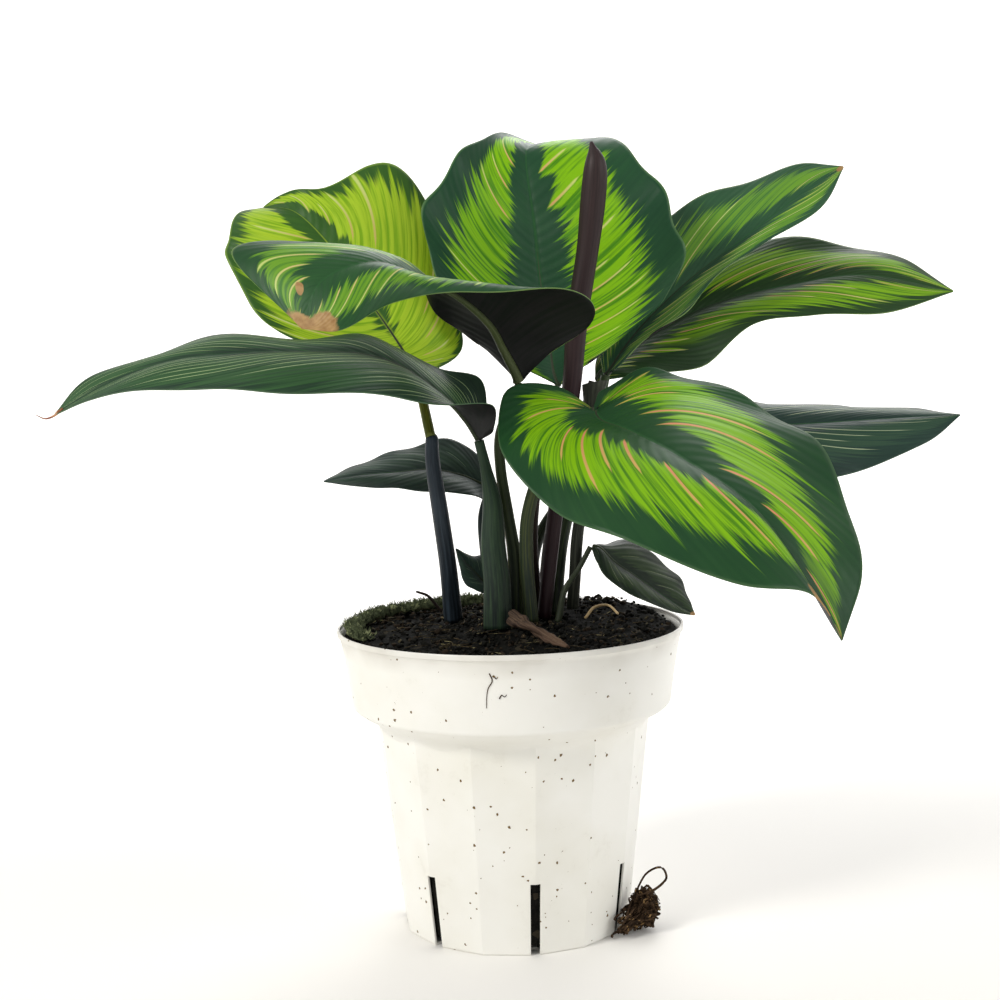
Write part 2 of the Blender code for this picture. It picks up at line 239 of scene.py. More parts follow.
@dataclass(frozen=True)
class LeafFinish:
    """The upper side of a living leaf: satin, with light feathers between its veins.

    Places across run from 0 at the midrib to 1 at the margin, and places along from 0 at
    the petiole to 1 at the tip. The sweep is how far a vein runs towards the tip.
    """

    deep: str = "#24502f"
    green: str = "#3f7242"
    feather: str = "#86bd1c"
    feather_shade: str = "#4f8a22"
    stripe: str = "#e3bd6c"
    stripe_pale: str = "#c6e04c"
    rib: str = "#2f6234"
    # the margin line's colour: partly the leaf's own pale edge, partly a painted rim highlight
    edge: str = "#7fa05a"
    inner: float = 0.2
    inner_growth: float = 0.0
    outer: float = 0.8
    ragged: float = 0.5
    start: float = 0.1
    end: float = 0.9
    strength: float = 1.0
    teeth: float = 34.0
    stripes: float = 15.0
    stripe_share: float = 0.85
    stripe_width: float = 0.07
    halo_width: float = 0.36
    stripe_inner: float = 0.2
    stripe_length: float = 0.5
    sweep: float = 0.1
    seed: float = 1.0
    dry: tuple[DrySpot, ...] = ()
    roughness: float = 0.42
    glow: float = 0.25

    def material(self, name: str) -> bpy.types.Material:
        """Builds the material.

        Args:
            name: The leaf's name.

        Returns:
            The material for the leaf's upper side.
        """
        n = NodeBuilder(f"{name}_satin_leaf")
        uv = n.add("UVMap", uv_map=UV_NAME)
        at = n.add("SeparateXYZ", {0: uv})
        signed = n.add("Math", {0: at.outputs["X"], 1: 2.0, 2: -1.0}, operation="MULTIPLY_ADD")
        side = n.add("Math", {0: signed}, operation="SIGN")
        out = n.add("Math", {0: signed}, operation="ABSOLUTE")
        vein = n.add(
            "Math", {0: out, 1: -self.sweep, 2: at.outputs["Y"]}, operation="MULTIPLY_ADD"
        )
        line, halo, tint = self.stripe_lines(n, vein, out, side)
        band = self.band(n, vein, out, side)
        band = n.add("Math", {0: band, 1: halo}, operation="MAXIMUM")
        colour = n.add("Mix", {0: band, 1: self.ground(n, vein, out, side),
                               2: self.feathers(n, vein, out, side)}, data_type="RGBA")
        pale = n.add("Mix", {0: tint, 1: linear(self.stripe), 2: linear(self.stripe_pale)},
                     data_type="RGBA")
        colour = n.add("Mix", {0: line, 1: colour, 2: pale}, data_type="RGBA")
        colour = self.edged(n, colour, out, at)
        rough = n.add("TexNoise", {"Vector": n.add("TexCoord").outputs["Object"],
                                   "Scale": 260.0, "Detail": 2.0})
        rough = n.add("MapRange", {0: rough, 3: self.roughness - 0.07, 4: self.roughness + 0.1})
        waves = n.add("Math", {0: vein, 1: self.teeth * tau}, operation="MULTIPLY")
        waves = n.add("Math", {0: waves}, operation="SINE")
        relief = n.add("Bump", {"Height": waves, "Strength": 0.12, "Distance": 0.0003})
        skin = n.add("BsdfPrincipled", {
            "Base Color": colour, "Roughness": rough, "IOR": 1.42, "Normal": relief,
            "Specular IOR Level": 0.35,
        })
        through = n.add("BsdfTranslucent", {"Color": colour})
        return n.finish(n.add("MixShader", {0: self.glow, 1: skin, 2: through}))

    def ground(self, n: NodeBuilder, vein: Source, out: Source, side: Source) -> Source:
        """Returns the dark green that shows between and around the feathers."""
        along = n.add("Math", {0: vein, 1: self.teeth * 1.6}, operation="MULTIPLY")
        streak = n.add("CombineXYZ", {0: along, 1: out, 2: side})
        fine = n.add("TexNoise", {"Vector": streak, "Scale": 1.0, "Detail": 3.0})
        cloud = n.add("TexNoise", {"Vector": n.add("TexCoord").outputs["Object"],
                                   "Scale": 38.0, "Detail": 2.0})
        both = n.add("Math", {0: fine, 1: cloud}, operation="MULTIPLY")
        share = n.add("MapRange", {0: both, 1: 0.05, 2: 0.5})
        return n.add("Mix", {0: share, 1: linear(self.deep), 2: linear(self.green)},
                     data_type="RGBA")

    def band(self, n: NodeBuilder, vein: Source, out: Source, side: Source) -> Source:
        """Returns where the feathers show, with ragged ends towards rib and margin."""
        toothed = n.add("Math", {0: vein, 1: self.teeth}, operation="MULTIPLY")
        band: Source = self.strength
        grown = n.add("Math", {0: vein, 1: self.inner_growth, 2: self.inner},
                      operation="MULTIPLY_ADD")
        for edge, sign, soft, shift in ((grown, 1.0, 0.07, 0.0), (self.outer, -1.0, -0.09, 9.0)):
            spot = n.add("CombineXYZ", {0: toothed, 1: self.seed + shift, 2: side})
            noise_at = n.add("TexNoise", {"Vector": spot, "Scale": 1.0, "Detail": 4.0,
                                          "Roughness": 0.7})
            reach = sign * self.ragged / 2
            tooth = n.add("MapRange", {0: noise_at, 1: 0.3, 2: 0.7, 3: -reach, 4: reach})
            start = n.add("Math", {0: edge, 1: tooth}, operation="ADD")
            end = n.add("Math", {0: start, 1: soft}, operation="ADD")
            fade = n.add("MapRange", {0: out, 1: start, 2: end}, interpolation_type="SMOOTHSTEP")
            band = n.add("Math", {0: band, 1: fade}, operation="MULTIPLY")
        for low, high in ((self.start - 0.05, self.start + 0.07),
                          (self.end + 0.05, self.end - 0.07)):
            fade = n.add("MapRange", {0: vein, 1: low, 2: high})
            band = n.add("Math", {0: band, 1: fade}, operation="MULTIPLY")
        return band

    def feathers(self, n: NodeBuilder, vein: Source, out: Source, side: Source) -> Source:
        """Returns the light green of the feathers, streaked along the veins."""
        along = n.add("Math", {0: vein, 1: self.teeth * 2.3}, operation="MULTIPLY")
        across = n.add("Math", {0: out, 1: 1.3}, operation="MULTIPLY")
        depth = n.add("Math", {0: side, 1: 5.0, 2: self.seed}, operation="MULTIPLY_ADD")
        streak = n.add("CombineXYZ", {0: along, 1: across, 2: depth})
        fine = n.add("TexNoise", {"Vector": streak, "Scale": 1.0, "Detail": 3.0,
                                  "Roughness": 0.6})
        share = n.add("MapRange", {0: fine, 1: 0.36, 2: 0.56}, interpolation_type="SMOOTHSTEP")
        return n.add("Mix", {0: share, 1: linear(self.feather_shade), 2: linear(self.feather)},
                     data_type="RGBA")

    def stripe_lines(
        self, n: NodeBuilder, vein: Source, out: Source, side: Source
    ) -> tuple[Source, Source, Source]:
        """Returns the pin stripes' lines, the feather round each and their change of tint."""
        counted = n.add("Math", {0: vein, 1: self.stripes}, operation="MULTIPLY")
        index = n.add("Math", {0: counted}, operation="FLOOR")
        part = n.add("Math", {0: counted}, operation="FRACT")
        cell = n.add("CombineXYZ", {0: index, 1: side, 2: self.seed})
        chance = n.add("TexWhiteNoise", {0: cell})
        drawn = n.add("SeparateXYZ", {0: chance.outputs["Color"]})
        centre = n.add("MapRange", {0: drawn.outputs["X"], 3: 0.32, 4: 0.68})
        away = n.add("Math", {0: part, 1: centre}, operation="SUBTRACT")
        away = n.add("Math", {0: away}, operation="ABSOLUTE")
        first = n.add("MapRange", {0: drawn.outputs["Y"], 3: self.stripe_inner * 0.6,
                                   4: self.stripe_inner * 1.6})
        reach = n.add("MapRange", {0: drawn.outputs["Z"], 3: self.stripe_length * 0.6,
                                   4: self.stripe_length * 1.2})
        length = n.add("Math", {0: out, 1: first}, operation="SUBTRACT")
        length = n.add("Math", {0: length, 1: reach}, operation="DIVIDE", use_clamp=True)
        taper = n.add("Math", {0: length, 1: pi}, operation="MULTIPLY")
        taper = n.add("Math", {0: taper}, operation="SINE")
        shown = n.add("Math", {0: chance.outputs["Value"], 1: self.stripe_share},
                      operation="LESS_THAN")
        taper = n.add("Math", {0: taper, 1: shown}, operation="MULTIPLY")
        lines = []
        for half_width, soft, full in (
            (self.stripe_width, 0.04, 0.5), (self.halo_width, 0.12, 1.0),
        ):
            width = n.add("MapRange", {0: taper, 1: 0.0, 2: full, 4: half_width})
            inside = n.add("Math", {0: width, 1: away}, operation="SUBTRACT")
            lines.append(n.add("MapRange", {0: inside, 1: 0.0, 2: soft}))
        halo = n.add("Math", {0: lines[1], 1: self.strength}, operation="MULTIPLY")
        return lines[0], halo, n.add("MapRange", {0: length, 1: 0.2, 2: 0.75})

    def edged(self, n: NodeBuilder, colour: Source, out: Source, at: bpy.types.Node) -> Source:
        """Returns the colour with midrib, dried patches and a margin of pale edge and painted highlight."""
        rib_width = n.add("MapRange", {0: at.outputs["Y"], 3: 0.04, 4: 0.012})
        rib = n.add("MapRange", {0: out, 1: 0.0, 2: rib_width, 3: 0.9, 4: 0.0})
        colour = n.add("Mix", {0: rib, 1: colour, 2: linear(self.rib)}, data_type="RGBA")
        # thin margin line: partly the leaf's own pale edge, partly a painted rim highlight
        margin = n.add("MapRange", {0: out, 1: 0.985, 2: 0.997})
        colour = n.add("Mix", {0: margin, 1: colour, 2: linear(self.edge)}, data_type="RGBA")
        grain = n.add("TexNoise", {"Vector": n.add("TexCoord").outputs["Object"],
                                   "Scale": 420.0, "Detail": 3.0})
        brown = n.add("Mix", {0: grain, 1: linear("#8a5c2e"), 2: linear("#dcb77c")},
                      data_type="RGBA")
        for spot in self.dry:
            across = n.add("MapRange", {0: at.outputs["X"], 1: spot.across,
                                        2: spot.across + spot.reach_across}, clamp=False)
            along = n.add("MapRange", {0: at.outputs["Y"], 1: spot.along,
                                       2: spot.along + spot.reach_along}, clamp=False)
            flat = n.add("CombineXYZ", {0: across, 1: along})
            far = n.add("VectorMath", {0: flat}, operation="LENGTH")
            rough = n.add("Math", {0: grain, 1: 0.5, 2: far.outputs["Value"]},
                          operation="MULTIPLY_ADD")
            patch = n.add("MapRange", {0: rough, 1: 1.25, 2: 1.12})
            colour = n.add("Mix", {0: patch, 1: colour, 2: brown}, data_type="RGBA")
        return colour


@dataclass(frozen=True)
class UndersideFinish:
    """The underside of the leaf, which is smooth, dark and mostly purple."""

    dark: str = "#131815"
    light: str = "#221f22"
    roughness: float = 0.5

    def material(self, name: str) -> bpy.types.Material:
        """Builds the material for one leaf's underside."""
        n = NodeBuilder(f"{name}_purple_underside")
        uv = n.add("UVMap", uv_map=UV_NAME)
        at = n.add("SeparateXYZ", {0: uv})
        signed = n.add("Math", {0: at.outputs["X"], 1: 2.0, 2: -1.0}, operation="MULTIPLY_ADD")
        out = n.add("Math", {0: signed}, operation="ABSOLUTE")
        vein = n.add("Math", {0: out, 1: -0.12, 2: at.outputs["Y"]}, operation="MULTIPLY_ADD")
        along = n.add("Math", {0: vein, 1: 70.0}, operation="MULTIPLY")
        streak = n.add("CombineXYZ", {0: along, 1: signed})
        fine = n.add("TexNoise", {"Vector": streak, "Scale": 1.0, "Detail": 3.0})
        share = n.add("MapRange", {0: fine, 1: 0.35, 2: 0.75})
        colour = n.add("Mix", {0: share, 1: linear(self.dark), 2: linear(self.light)},
                       data_type="RGBA")
        return n.finish(n.add("BsdfPrincipled", {
            "Base Color": colour, "Roughness": self.roughness, "IOR": 1.4,
            "Specular IOR Level": 0.3,
        }))


@dataclass(frozen=True)
class StemFinish:
    """A smooth stem, streaked along its length, from its foot's colour to its top's."""

    foot: str = "#232e2c"
    top: str = "#3c4a34"
    streak: str = "#4c5a3c"
    roughness: float = 0.45
    seed: float = 0.0
    line: str = ""
    line_at: float = 0.0
    line_from: float = 0.0
    line_to: float = 1.0

    def material(self, name: str) -> bpy.types.Material:
        """Builds the material for one stem."""
        n = NodeBuilder(f"{name}_plant_stem")
        at = n.add("SeparateXYZ", {0: n.add("UVMap", uv_map=UV_NAME)})
        around = n.add("Math", {0: at.outputs["X"], 1: tau}, operation="MULTIPLY")
        ring = n.add("CombineXYZ", {
            0: n.add("Math", {0: around}, operation="SINE"),
            1: n.add("Math", {0: around}, operation="COSINE"),
            2: n.add("Math", {0: at.outputs["Y"], 1: 0.8, 2: self.seed},
                     operation="MULTIPLY_ADD"),
        })
        fine = n.add("TexNoise", {"Vector": ring, "Scale": 4.0, "Detail": 4.0,
                                  "Roughness": 0.65})
        share = n.add("MapRange", {0: fine, 1: 0.42, 2: 0.75})
        body = n.add("Mix", {0: at.outputs["Y"], 1: linear(self.foot), 2: linear(self.top)},
                     data_type="RGBA")
        colour = n.add("Mix", {0: share, 1: body, 2: linear(self.streak)}, data_type="RGBA")
        if self.line:
            away = n.add("Math", {0: at.outputs["X"], 1: self.line_at}, operation="SUBTRACT")
            away = n.add("Math", {0: away}, operation="ABSOLUTE")
            line = n.add("MapRange", {0: away, 1: 0.035, 2: 0.012})
            rise = n.add("MapRange", {0: at.outputs["Y"], 1: self.line_from,
                                      2: self.line_from + 0.08})
            fall = n.add("MapRange", {0: at.outputs["Y"], 1: self.line_to,
                                      2: self.line_to - 0.12})
            line = n.add("Math", {0: line, 1: rise}, operation="MULTIPLY")
            line = n.add("Math", {0: line, 1: fall}, operation="MULTIPLY")
            colour = n.add("Mix", {0: line, 1: colour, 2: linear(self.line)}, data_type="RGBA")
        relief = n.add("Bump", {"Height": fine, "Strength": 0.3, "Distance": 0.0005})
        return n.finish(n.add("BsdfPrincipled", {
            "Base Color": colour, "Roughness": self.roughness, "IOR": 1.42,
            "Specular IOR Level": 0.3, "Normal": relief,
        }))


# ------------------------------------------------------------------ leaf blades


@dataclass
class Blade:
    """One leaf blade between its midrib and its two margins.

    The vein that starts at the midrib's point k + 1 ends at each margin's point k. Right
    and left are those of someone who looks at the upper side with the tip away from them.

    Attributes:
        crown: How far each half arches up between midrib and margin.
        ripple: How far the margins wave up and down.
        ripples: How many waves a margin has.
        scallop: How far the margins wave in and out.
    """

    name: str
    slot: str
    rib: list[tuple[float, ...]]
    left: list[tuple[float, ...]]
    right: list[tuple[float, ...]]
    finish: LeafFinish = field(default_factory=LeafFinish)
    underside: UndersideFinish = field(default_factory=UndersideFinish)
    crown: float = 2.0
    ripple: float = 0.8
    ripples: float = 5.0
    scallop: float = 0.5
    phase: float = 0.0
    quilting: float = 0.06
    thickness: float = 0.35
    base_half_width: float = 1.5
    tip_half_width: float = 0.4
    rib_radius: float = 0.8
    ridge_finish: StemFinish = field(default_factory=lambda: StemFinish("#2c3324", "#2a3326"))
    columns: int = 60
    rows: int = 110

    def __post_init__(self) -> None:
        """Turns the points into vectors and completes the margins."""
        self.rib = [Vector(point) for point in self.rib]
        self.left = self.margin(self.left)
        self.right = self.margin(self.right)

    def margin(self, points: list[tuple[float, ...]]) -> list[Vector]:
        """Returns a whole margin, from beside the petiole to beside the tip."""
        points = [Vector(point) for point in points]
        start = (points[0] - self.rib[1]).normalized() * self.base_half_width
        end = (points[-1] - self.rib[-2]).normalized() * self.tip_half_width
        return [self.rib[0] + start, *points, self.rib[-1] + end]

    def place(self, across: float, along: float) -> Vector:
        """Returns the blade's upper surface at 0..1 across and 0..1 along."""
        signed = 2 * across - 1
        out = abs(signed)
        at = along * (len(self.rib) - 1)
        left, middle = smooth_point(self.left, at), smooth_point(self.rib, at)
        right = smooth_point(self.right, at)
        wave = sin(tau * self.ripples * along + self.phase + (1.7 if signed > 0 else 0.0))
        slow = sin(tau * self.ripples * 0.43 * along + 2 * self.phase)
        chord = left * (signed * (signed - 1) / 2) + right * (signed * (signed + 1) / 2)
        point = chord + middle * (1 - signed**2)
        ends = sin(pi * along)
        margin = right if signed > 0 else left
        point += (margin - middle).normalized() * self.scallop * (wave + slow) * out**3 * ends
        before = smooth_point(self.rib, max(at - 0.1, 0.0))
        ahead = smooth_point(self.rib, min(at + 0.1, len(self.rib) - 1.0)) - before
        up = (right - left).cross(ahead).normalized()
        lift = self.crown * sin(pi * out) * ends
        lift += self.ripple * wave * out**4 * ends
        vein = along - self.finish.sweep * out
        quilt = sin(tau * self.finish.teeth * 0.5 * vein)
        lift += self.quilting * quilt * sin(pi * min(out * 1.1, 1.0)) * ends
        half_width = max((margin - middle).length, 1.0)
        lift -= 0.25 * exp(-((out * half_width / 1.1) ** 2)) * ends
        return point + up * lift

    def build(self) -> None:
        """Adds the blade and the raised midrib on its underside."""
        mesh = surface_mesh(self.name + "_blade", self.columns, self.rows, self.place)
        upper = self.finish.material(self.name)
        under = self.underside.material(self.name)
        blade = add_piece(mesh, [upper, under], self.slot, self.name)
        solid = blade.modifiers.new("thickness", "SOLIDIFY")
        solid.thickness = self.thickness * MM
        solid.offset = -1.0
        solid.material_offset = 1
        ridge = surface_mesh(self.name + "_ridge", 10, 60, self.ridge, tube=True)
        add_piece(ridge, [self.ridge_finish.material(self.name + "_ridge")], self.slot)

    def ridge(self, across: float, along: float) -> Vector:
        """Returns the surface of the raised midrib, 0..1 around and 0..1 along."""
        at = 0.01 + 0.85 * along
        radius = self.rib_radius * (1 - along) + 0.25
        middle, ahead = self.place(0.5, at), self.place(0.5, at + 0.02)
        sideways = (self.place(0.52, at) - self.place(0.48, at)).normalized()
        down = (ahead - middle).cross(sideways).normalized()
        middle += down * (self.thickness + 0.1 * radius)
        angle = tau * across
        return middle + (sideways * cos(angle) + down * sin(angle)) * radius


# ------------------------------------------------------------------ stems


class Section(Enum):
    """How a stem looks where it is cut across."""

    ROUND = "round"
    SHEATH = "sheath"
    ROLLED = "rolled"
    WITHERED = "withered"


@dataclass
class Stem:
    """A stem, sheath, petiole or rolled leaf along a route of (x, y, z, radius)."""

    name: str
    slot: str
    route: list[tuple[float, ...]]
    finish: StemFinish = field(default_factory=StemFinish)
    section: Section = Section.ROUND
    sink: float = 3.0
    reach: float = 0.6
    seam: float = 0.25
    round_top: bool = False
    sides: int = 28
    rows: int = 70

    def radius_share(self, across: float, along: float) -> float:
        """Returns the radius at a place around the stem, as a share of its round one."""
        turn = (across - self.seam) % 1.0
        if self.section is Section.ROLLED:
            return 0.93 + 0.17 * turn
        if self.section is Section.SHEATH:
            lip = 0.14 * ease(0.0, 0.04, turn) * (1 - ease(0.04, 0.3, turn))
            return 0.97 + lip * (1 - 0.6 * along)
        if self.section is Section.WITHERED:
            lump = noise.noise(Vector((cos(tau * across), sin(tau * across), 9 * along)))
            flat = abs(cos(tau * across + 5.0 * along))
            return 0.45 + 1.1 * flat + 0.5 * lump
        return 1.0 + 0.03 * cos(2 * tau * across)

    def place(self, across: float, along: float) -> Vector:
        """Returns the stem's surface at 0..1 around and 0..1 along."""
        points = [Vector(point) for point in self.route]
        last = len(points) - 1
        here = smooth_point(points, along * last)
        before = smooth_point(points, max(along * last - 0.05, 0.0))
        after = smooth_point(points, min(along * last + 0.05, last))
        ahead = (after - before).to_3d().normalized()
        middle = here.to_3d() - ahead * self.sink * (1 - ease(0.0, 0.05, along))
        middle += ahead * self.reach * ease(0.96, 1.0, along)
        radius = here.w
        if self.round_top:
            cap = max(along - 0.955, 0.0) / 0.045
            radius *= max(1 - cap * cap, 0.02) ** 0.5
        sideways = Vector((0, -1, 0)).cross(ahead).normalized()
        towards = ahead.cross(sideways).normalized()
        angle = tau * across
        spoke = sideways * cos(angle) + towards * sin(angle)
        return middle + spoke * radius * self.radius_share(across, along)

    def build(self) -> None:
        """Adds the stem."""
        mesh = surface_mesh(self.name + "_stem", self.sides, self.rows, self.place, tube=True)
        add_piece(mesh, [self.finish.material(self.name)], self.slot, self.name)


# ------------------------------------------------------------------ pot


@dataclass(frozen=True)
class PotFinish:
    """Moulded white polypropylene: semi-gloss, with specks of dried compost."""

    plastic: str = "#f2f1eb"
    shade: str = "#e9e7dd"
    dirt: str = "#6b5226"
    roughness: float = 0.34

    def material(self) -> bpy.types.Material:
        """Builds the material."""
        n = NodeBuilder("moulded_polypropylene")
        place = n.add("TexCoord").outputs["Object"]
        cloud = n.add("TexNoise", {"Vector": place, "Scale": 30.0, "Detail": 4.0})
        tone = n.add("MapRange", {0: cloud, 1: 0.4, 2: 0.75})
        colour = n.add("Mix", {0: tone, 1: linear(self.plastic), 2: linear(self.shade)},
                       data_type="RGBA")
        cells = n.add("TexVoronoi", {"Vector": place, "Scale": 520.0, "Randomness": 1.0})
        chance = n.add("SeparateXYZ", {0: cells.outputs["Color"]})
        crowd = n.add("TexNoise", {"Vector": place, "Scale": 34.0, "Detail": 3.0})
        rarest = n.add("MapRange", {0: crowd, 1: 0.38, 2: 0.66, 3: 0.96, 4: 0.7})
        size = n.add("MapRange", {0: chance.outputs["X"], 1: rarest, 2: 1.0, 3: 0.04, 4: 0.6})
        torn = n.add("TexNoise", {"Vector": place, "Scale": 1800.0})
        speck_size = n.add("Math", {0: size, 1: torn}, operation="MULTIPLY")
        speck = n.add("Math", {0: cells.outputs["Distance"], 1: speck_size},
                      operation="LESS_THAN")
        film = n.add("TexNoise", {"Vector": place, "Scale": 60.0, "Detail": 6.0,
                                  "Roughness": 0.75})
        film = n.add("MapRange", {0: film, 1: 0.6, 2: 0.85, 4: 0.16})
        height = n.add("SeparateXYZ", {0: place}).outputs["Z"]
        under_rim = n.add("MapRange", {0: height, 1: 0.0965, 2: 0.1015})
        grubby = n.add("MapRange", {0: crowd, 1: 0.4, 2: 0.65, 3: 0.05, 4: 0.3})
        line = n.add("Math", {0: under_rim, 1: grubby}, operation="MULTIPLY")
        stain = n.add("Math", {0: film, 1: line}, operation="MAXIMUM")
        stain = n.add("Math", {0: stain, 1: speck}, operation="MAXIMUM", use_clamp=True)
        colour = n.add("Mix", {0: stain, 1: colour, 2: linear(self.dirt)}, data_type="RGBA")
        rough = n.add("MapRange", {0: stain, 3: self.roughness, 4: 0.8})
        return n.finish(n.add("BsdfPrincipled", {
            "Base Color": colour, "Roughness": rough, "IOR": 1.49,
        }))


@dataclass
class Pot:
    """The nursery pot: a plain collar over a rounded shoulder and flat facets."""

    height: float = 105.0
    rim_radius: float = 60.0
    base_radius: float = 39.5
    facet_slope: float = 8.0 / 71.0
    wall: float = 0.8
    facets: int = 14
    slots: int = 7
    first_slot: float = radians(8.5)
    slot_half_angle: float = radians(2.4)
    slot_height: float = 25.0
    slot_notch: float = 6.0
    finish: PotFinish = field(default_factory=PotFinish)

    PROFILE = (
        (60.0, 105.0), (60.15, 104.4), (60.1, 103.2), (59.5, 102.6), (59.1, 101.5),
        (57.3, 92.0), (55.9, 82.0), (55.5, 78.8), (55.2, 78.0), (54.2, 77.2), (52.0, 75.9),
        (50.0, 74.7), (48.3, 73.3), (46.9, 71.6), (45.8, 69.0), (44.8, 64.0), (43.6, 55.0),
    )

    def corner_radius(self, height: float, angle: float) -> float:
        """Returns the faceted body's radius at a height and an angle."""
        half = pi / self.facets
        within = (angle - self.first_slot) % (2 * half) - half
        corner = self.base_radius + self.facet_slope * height
        return corner * cos(half) / cos(within)

    def round_radius(self, height: float) -> float:
        """Returns the round collar's and shoulder's radius at a height."""
        below = [row for row in self.PROFILE if row[1] <= height]
        above = [row for row in self.PROFILE if row[1] > height]
        if not below:
            return 0.0
        if not above:
            return self.PROFILE[0][0]
        (low_r, low_z), (high_r, high_z) = below[0], above[-1]
        share = (height - low_z) / (high_z - low_z)
        return low_r + (high_r - low_r) * share

    def radius(self, height: float, angle: float) -> float:
        """Returns the outside radius, with a crisp join between facets and shoulder."""
        body, collar = self.corner_radius(height, angle), self.round_radius(height)
        return max(body, collar)

    def heights(self) -> list[float]:
        """Returns the wall's rows, from its foot to its rim."""
        body = [0.0, 0.5, 2.0, 5.0, 10.0, 15.0, 20.0, self.slot_height, 30.0, 38.0, 46.0, 54.0]
        shoulder = [60.0 + 0.7 * step for step in range(30)]
        collar = [82.0, 85.0, 90.0, 95.0, 99.0, 101.5, 102.3, 102.8, 103.2, 103.8, 104.4, 105.0]
        return body + shoulder + collar

    def columns(self) -> list[float]:
        """Returns the wall's column angles, with columns at the slots' edges."""
        pitch = tau / self.facets
        angles = []
        for facet in range(self.facets):
            start = self.first_slot + facet * pitch
            inside = [self.slot_half_angle + (pitch - 2 * self.slot_half_angle) * k / 12
                      for k in range(13)]
            angles += [start, *[start + step for step in inside]]
        return angles

    def build(self) -> None:
        """Adds the pot, with its wall grown inwards from the outside."""
        rows, angles = self.heights(), self.columns()
        notch = [0.0, self.base_radius - self.slot_notch, self.base_radius - 1.2]

        def place(across: float, along: float) -> Vector:
            angle = angles[round(across * len(angles)) % len(angles)]
            step = round(along * (len(rows) + len(notch) - 1))
            if step < len(notch):
                reach, height = notch[step], 0.0
                if step == len(notch) - 1:
                    reach = self.radius(0.0, angle) - 1.2
            else:
                height = rows[step - len(notch)]
                reach = self.radius(max(height, 1.0), angle) - (0.5 if height == 0.0 else 0.0)
            return Vector((reach * sin(angle), -reach * cos(angle), height))

        steps = len(rows) + len(notch) - 1
        mesh = surface_mesh("nursery_pot_shell", len(angles), steps, place)
        bm = bmesh.new()
        bm.from_mesh(mesh)
        bmesh.ops.remove_doubles(bm, verts=bm.verts, dist=1e-7)
        gone = [face for face in bm.faces if self.in_slot(face.calc_center_median() / MM)]
        bmesh.ops.delete(bm, geom=gone, context="FACES")
        bmesh.ops.recalc_face_normals(bm, faces=bm.faces)
        if sum(face.normal.dot(face.calc_center_median()) for face in bm.faces) < 0:
            bmesh.ops.reverse_faces(bm, faces=bm.faces)
        bm.to_mesh(mesh)
        bm.free()
        mesh.shade_smooth()
        mesh.set_sharp_from_angle(angle=radians(9))
        pot = add_piece(mesh, [self.finish.material()], "white_polypropylene", "nursery_pot")
        solid = pot.modifiers.new("wall", "SOLIDIFY")
        solid.thickness = self.wall * MM
        solid.offset = -1.0
        bevel = pot.modifiers.new("moulded_edges", "BEVEL")
        bevel.width = 0.3 * MM
        bevel.segments = 2
        bevel.limit_method = "ANGLE"
        bevel.angle_limit = radians(50)

    def in_slot(self, at: Vector) -> bool:
        """Says whether a place on the wall or the base lies in a drain slot."""
        angle = atan2(at.x, -at.y)
        pitch = tau / self.slots
        off = (angle - self.first_slot + pitch / 2) % pitch - pitch / 2
        reach = hypot(at.x, at.y)
        near = abs(off) < self.slot_half_angle and at.z < self.slot_height
        return near and reach > self.base_radius - self.slot_notch


# ------------------------------------------------------------------ soil, moss and roots


@dataclass(frozen=True)
class CrumbFinish:
    """Dry peat, moss, root or straw: rough and uneven in colour."""

    name: str
    dark: str
    light: str
    fleck: str
    fleck_share: float = 0.0
    scale: float = 300.0
    roughness: float = 0.95

    def material(self) -> bpy.types.Material:
        """Builds the material, or returns the one already built."""
        found = bpy.data.materials.get(self.name)
        if found:
            return found
        n = NodeBuilder(self.name)
        place = n.add("TexCoord").outputs["Object"]
        fine = n.add("TexNoise", {"Vector": place, "Scale": self.scale, "Detail": 5.0,
                                  "Roughness": 0.7})
        share = n.add("MapRange", {0: fine, 1: 0.35, 2: 0.7})
        colour = n.add("Mix", {0: share, 1: linear(self.dark), 2: linear(self.light)},
                       data_type="RGBA")
        cells = n.add("TexVoronoi", {"Vector": place, "Scale": self.scale * 1.6})
        chance = n.add("SeparateXYZ", {0: cells.outputs["Color"]})
        flecked = n.add("Math", {0: chance.outputs["X"], 1: self.fleck_share},
                        operation="LESS_THAN")
        colour = n.add("Mix", {0: flecked, 1: colour, 2: linear(self.fleck)},
                       data_type="RGBA")
        relief = n.add("Bump", {"Height": fine, "Strength": 0.8, "Distance": 0.0012})
        return n.finish(n.add("BsdfPrincipled", {
            "Base Color": colour, "Roughness": self.roughness, "IOR": 1.35,
            "Specular IOR Level": 0.2, "Normal": relief,
        }))


PEAT = CrumbFinish("packed_peat", "#0d0e0d", "#1f1e1a", "#39342a", 0.04)
DARK_CRUMB = CrumbFinish("peat_crumbs", "#0f100f", "#24231e", "#4c4634", 0.05, 420.0)
BROWN_CRUMB = CrumbFinish("bark_crumbs", "#231c16", "#40362a", "#6e6248", 0.05, 420.0)
MOSS = CrumbFinish("dry_moss", "#323a28", "#737c5a", "#9aa076", 0.1, 380.0)
ROOT_FIBRE = CrumbFinish("root_fibre", "#241a14", "#5f4a36", "#9a7c54", 0.06, 500.0)
STRAW = CrumbFinish("dried_fibre", "#2c241a", "#5c5038", "#8c8460", 0.1, 260.0, 0.8)
DRY_TIP = CrumbFinish("withered_leaf_tip", "#7a3f30", "#b07a5c", "#c99a78", 0.1, 260.0, 0.8)


